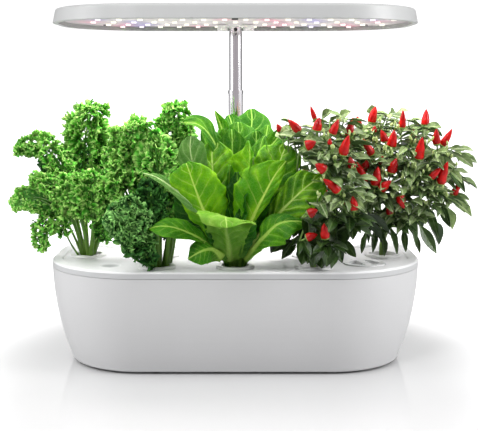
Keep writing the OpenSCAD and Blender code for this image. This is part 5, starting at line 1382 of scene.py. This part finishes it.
chilli_plant("right", 8,
             [(385, 120, 0.1), (412, 130, 0.05), (425, 128, 0.1), (360, 132, 0.1), (372, 160, 0), (405, 160, 0), (430, 160, 0), (452, 150, 0),
              (415, 175, 0), (400, 185, 0), (425, 188, 0), (448, 195, 0), (370, 195, 0), (385, 198, 0), (410, 200, 0), (430, 205, 0), (395, 215, 0.05),
              (372, 212, 0.1), (418, 215, 0.05), (355, 150, 0.15), (450, 168, 0), (390, 112, 0.1), (408, 146, 0), (436, 150, 0)],
             [(475, 162, -30, 456, 153, 22, 5), (462, 188, -30, 449, 171, 22, 6), (470, 214, -30, 451, 197, 25, 6), (451, 225, -34, 444, 204, 22, 7),
              (438, 216, -40, 434, 199, 18, 5), (372, 101, -20, 372, 116, 18, 6), (421, 119, -20, 408, 122, 18, 5), (431, 130, -20, 415, 130, 18, 5),
              (409, 111, -22, 396, 113, 18, 4), (463, 151, -24, 449, 148, 18, 4), (452, 193, -24, 440, 190, 18, 5)],
             [(430, 250, -44, 418, 222, 6.4, 1), (449, 224, -38, 441, 202, 5.4, 1), (411, 238, -50, 409, 206, 5.6, 1), (420, 249, -40, 411, 229, 3.2, 1),
              (394, 252, -50, 389, 224, 4.6, 1), (406, 249, -46, 403, 226, 3.8, 1), (364, 239, -60, 361, 204, 6.6, 1), (382, 238, -58, 385, 208, 4.4, 1),
              (373, 250, -52, 375, 226, 4.2, 1), (356, 228, -52, 360, 204, 4.2, 1), (398, 232, -58, 395, 204, 5.0, 1), (461, 188, -30, 447, 168, 5.0, 1),
              (384, 254, -50, 382, 232, 4.0, 1), (364, 252, -46, 366, 230, 3.6, 0), (436, 232, -36, 428, 206, 4.6, 1), (347, 232, -54, 352, 208, 4.4, 1)])

# growing sponge crumbs and perlite at the top of each planted basket
for i, (sx_, sy_) in enumerate([(-162.4, -21.6), (-81.2, -93.3), (0, -93.3), (81.2, -93.3), (162.4, -21.6)]):
    rng = np.random.RandomState(500 + i)
    top_bag, grains = Bag(), Bag()
    rr = np.linspace(0.02, 1, 12)[:, None]
    th = np.linspace(0, 2 * math.pi, 41)[None, :-1]
    zz = 107.3 + 0.9 * rng.normal(size=(12, 40)) * (rr < 0.97) - 1.2 * rr ** 6
    ring = np.stack([sx_ + 13.8 * rr * np.cos(th), sy_ + 13.8 * rr * np.sin(th), zz], -1)
    n_r, n_t = 12, 40
    low_ring = [np.stack([sx_ + 13.8 * np.cos(th[0]), sy_ + 13.8 * np.sin(th[0]), np.full(n_t, z)], -1) for z in (104.5, 98, 88, 78, 70.5)]
    rings = [ring[k] for k in range(n_r)] + low_ring
    V = np.concatenate(rings)
    n_all = len(rings)
    I = np.arange(n_all * n_t).reshape(n_all, n_t)
    J = np.roll(I, -1, axis=1)
    quads = np.stack([I[:-1], I[1:], J[1:], J[:-1]], -1).reshape(-1, 4)
    hub_t, hub_b = len(V), len(V) + 1
    V = np.vstack([V, [[sx_, sy_, 107.3]], [[sx_, sy_, 70.5]]])
    tris = np.concatenate([np.stack([I[0], J[0], np.full(n_t, hub_t)], -1), np.stack([J[-1], I[-1], np.full(n_t, hub_b)], -1)])
    top_bag.add(V, quads, tris, np.zeros(3), np.zeros(3))
    top_bag.make("growing_sponge_%d" % (i + 1), M["sponge"], "pod_%d" % (i + 1), "sponge", ["sponge_%d" % (i + 1)])
    for k in range(17):
        az, rad = rng.uniform(0, 6.28), 13 * math.sqrt(rng.uniform(0.08, 0.95))
        p = np.array([sx_ + rad * math.cos(az), sy_ + rad * math.sin(az), 108.2 + rng.uniform(-0.3, 0.6)])
        s = rng.uniform(0.9, 1.7)
        c = p + np.linspace(-s, s, 6)[:, None] * norm(rng.normal(size=3))
        grains.tube(c, s * np.array([0.35, 0.85, 1.0, 0.95, 0.75, 0.3]) * rng.uniform(0.85, 1.1, 6), 7)
    grains.make("perlite_%d" % (i + 1), M["perlite"], "pod_%d" % (i + 1), "sponge")

# ------------------------------------------------------------------ floor
fl = bpy.data.meshes.new("floor")
fl.from_pydata([(-12, -6, 0), (12, -6, 0), (12, 30, 0), (-12, 30, 0)], [], [(0, 1, 2, 3)])
floor = bpy.data.objects.new("floor", fl)
scene.collection.objects.link(floor)
m = Mat("floor_white")
fs = m.node("ShaderNodeSeparateXYZ")
m.link(m.where(), fs.inputs[0])
fx = m.math("MULTIPLY", fs.outputs[0], 1.25)
fy = m.math("MULTIPLY", m.math("SUBTRACT", fs.outputs[1], 0.0), m.span(fs.outputs[1], -0.2, 0.0, 0.56, 1.15))
away = m.math("SQRT", m.math("ADD", m.math("MULTIPLY", fx, fx), m.math("MULTIPLY", fy, fy)))
m.set(colour=m.mix(m.noise(3, 2), lin(204, 204, 204), lin(203, 203, 204)), rough=0.04, ior=1.5,
      emit=(1, 1, 1, 1), emit_power=m.math("MULTIPLY", m.span(away, 0.25, 0.5, 0.0, 0.9), m.node("ShaderNodeLightPath").outputs["Is Camera Ray"]))
fl.materials.append(m.m)
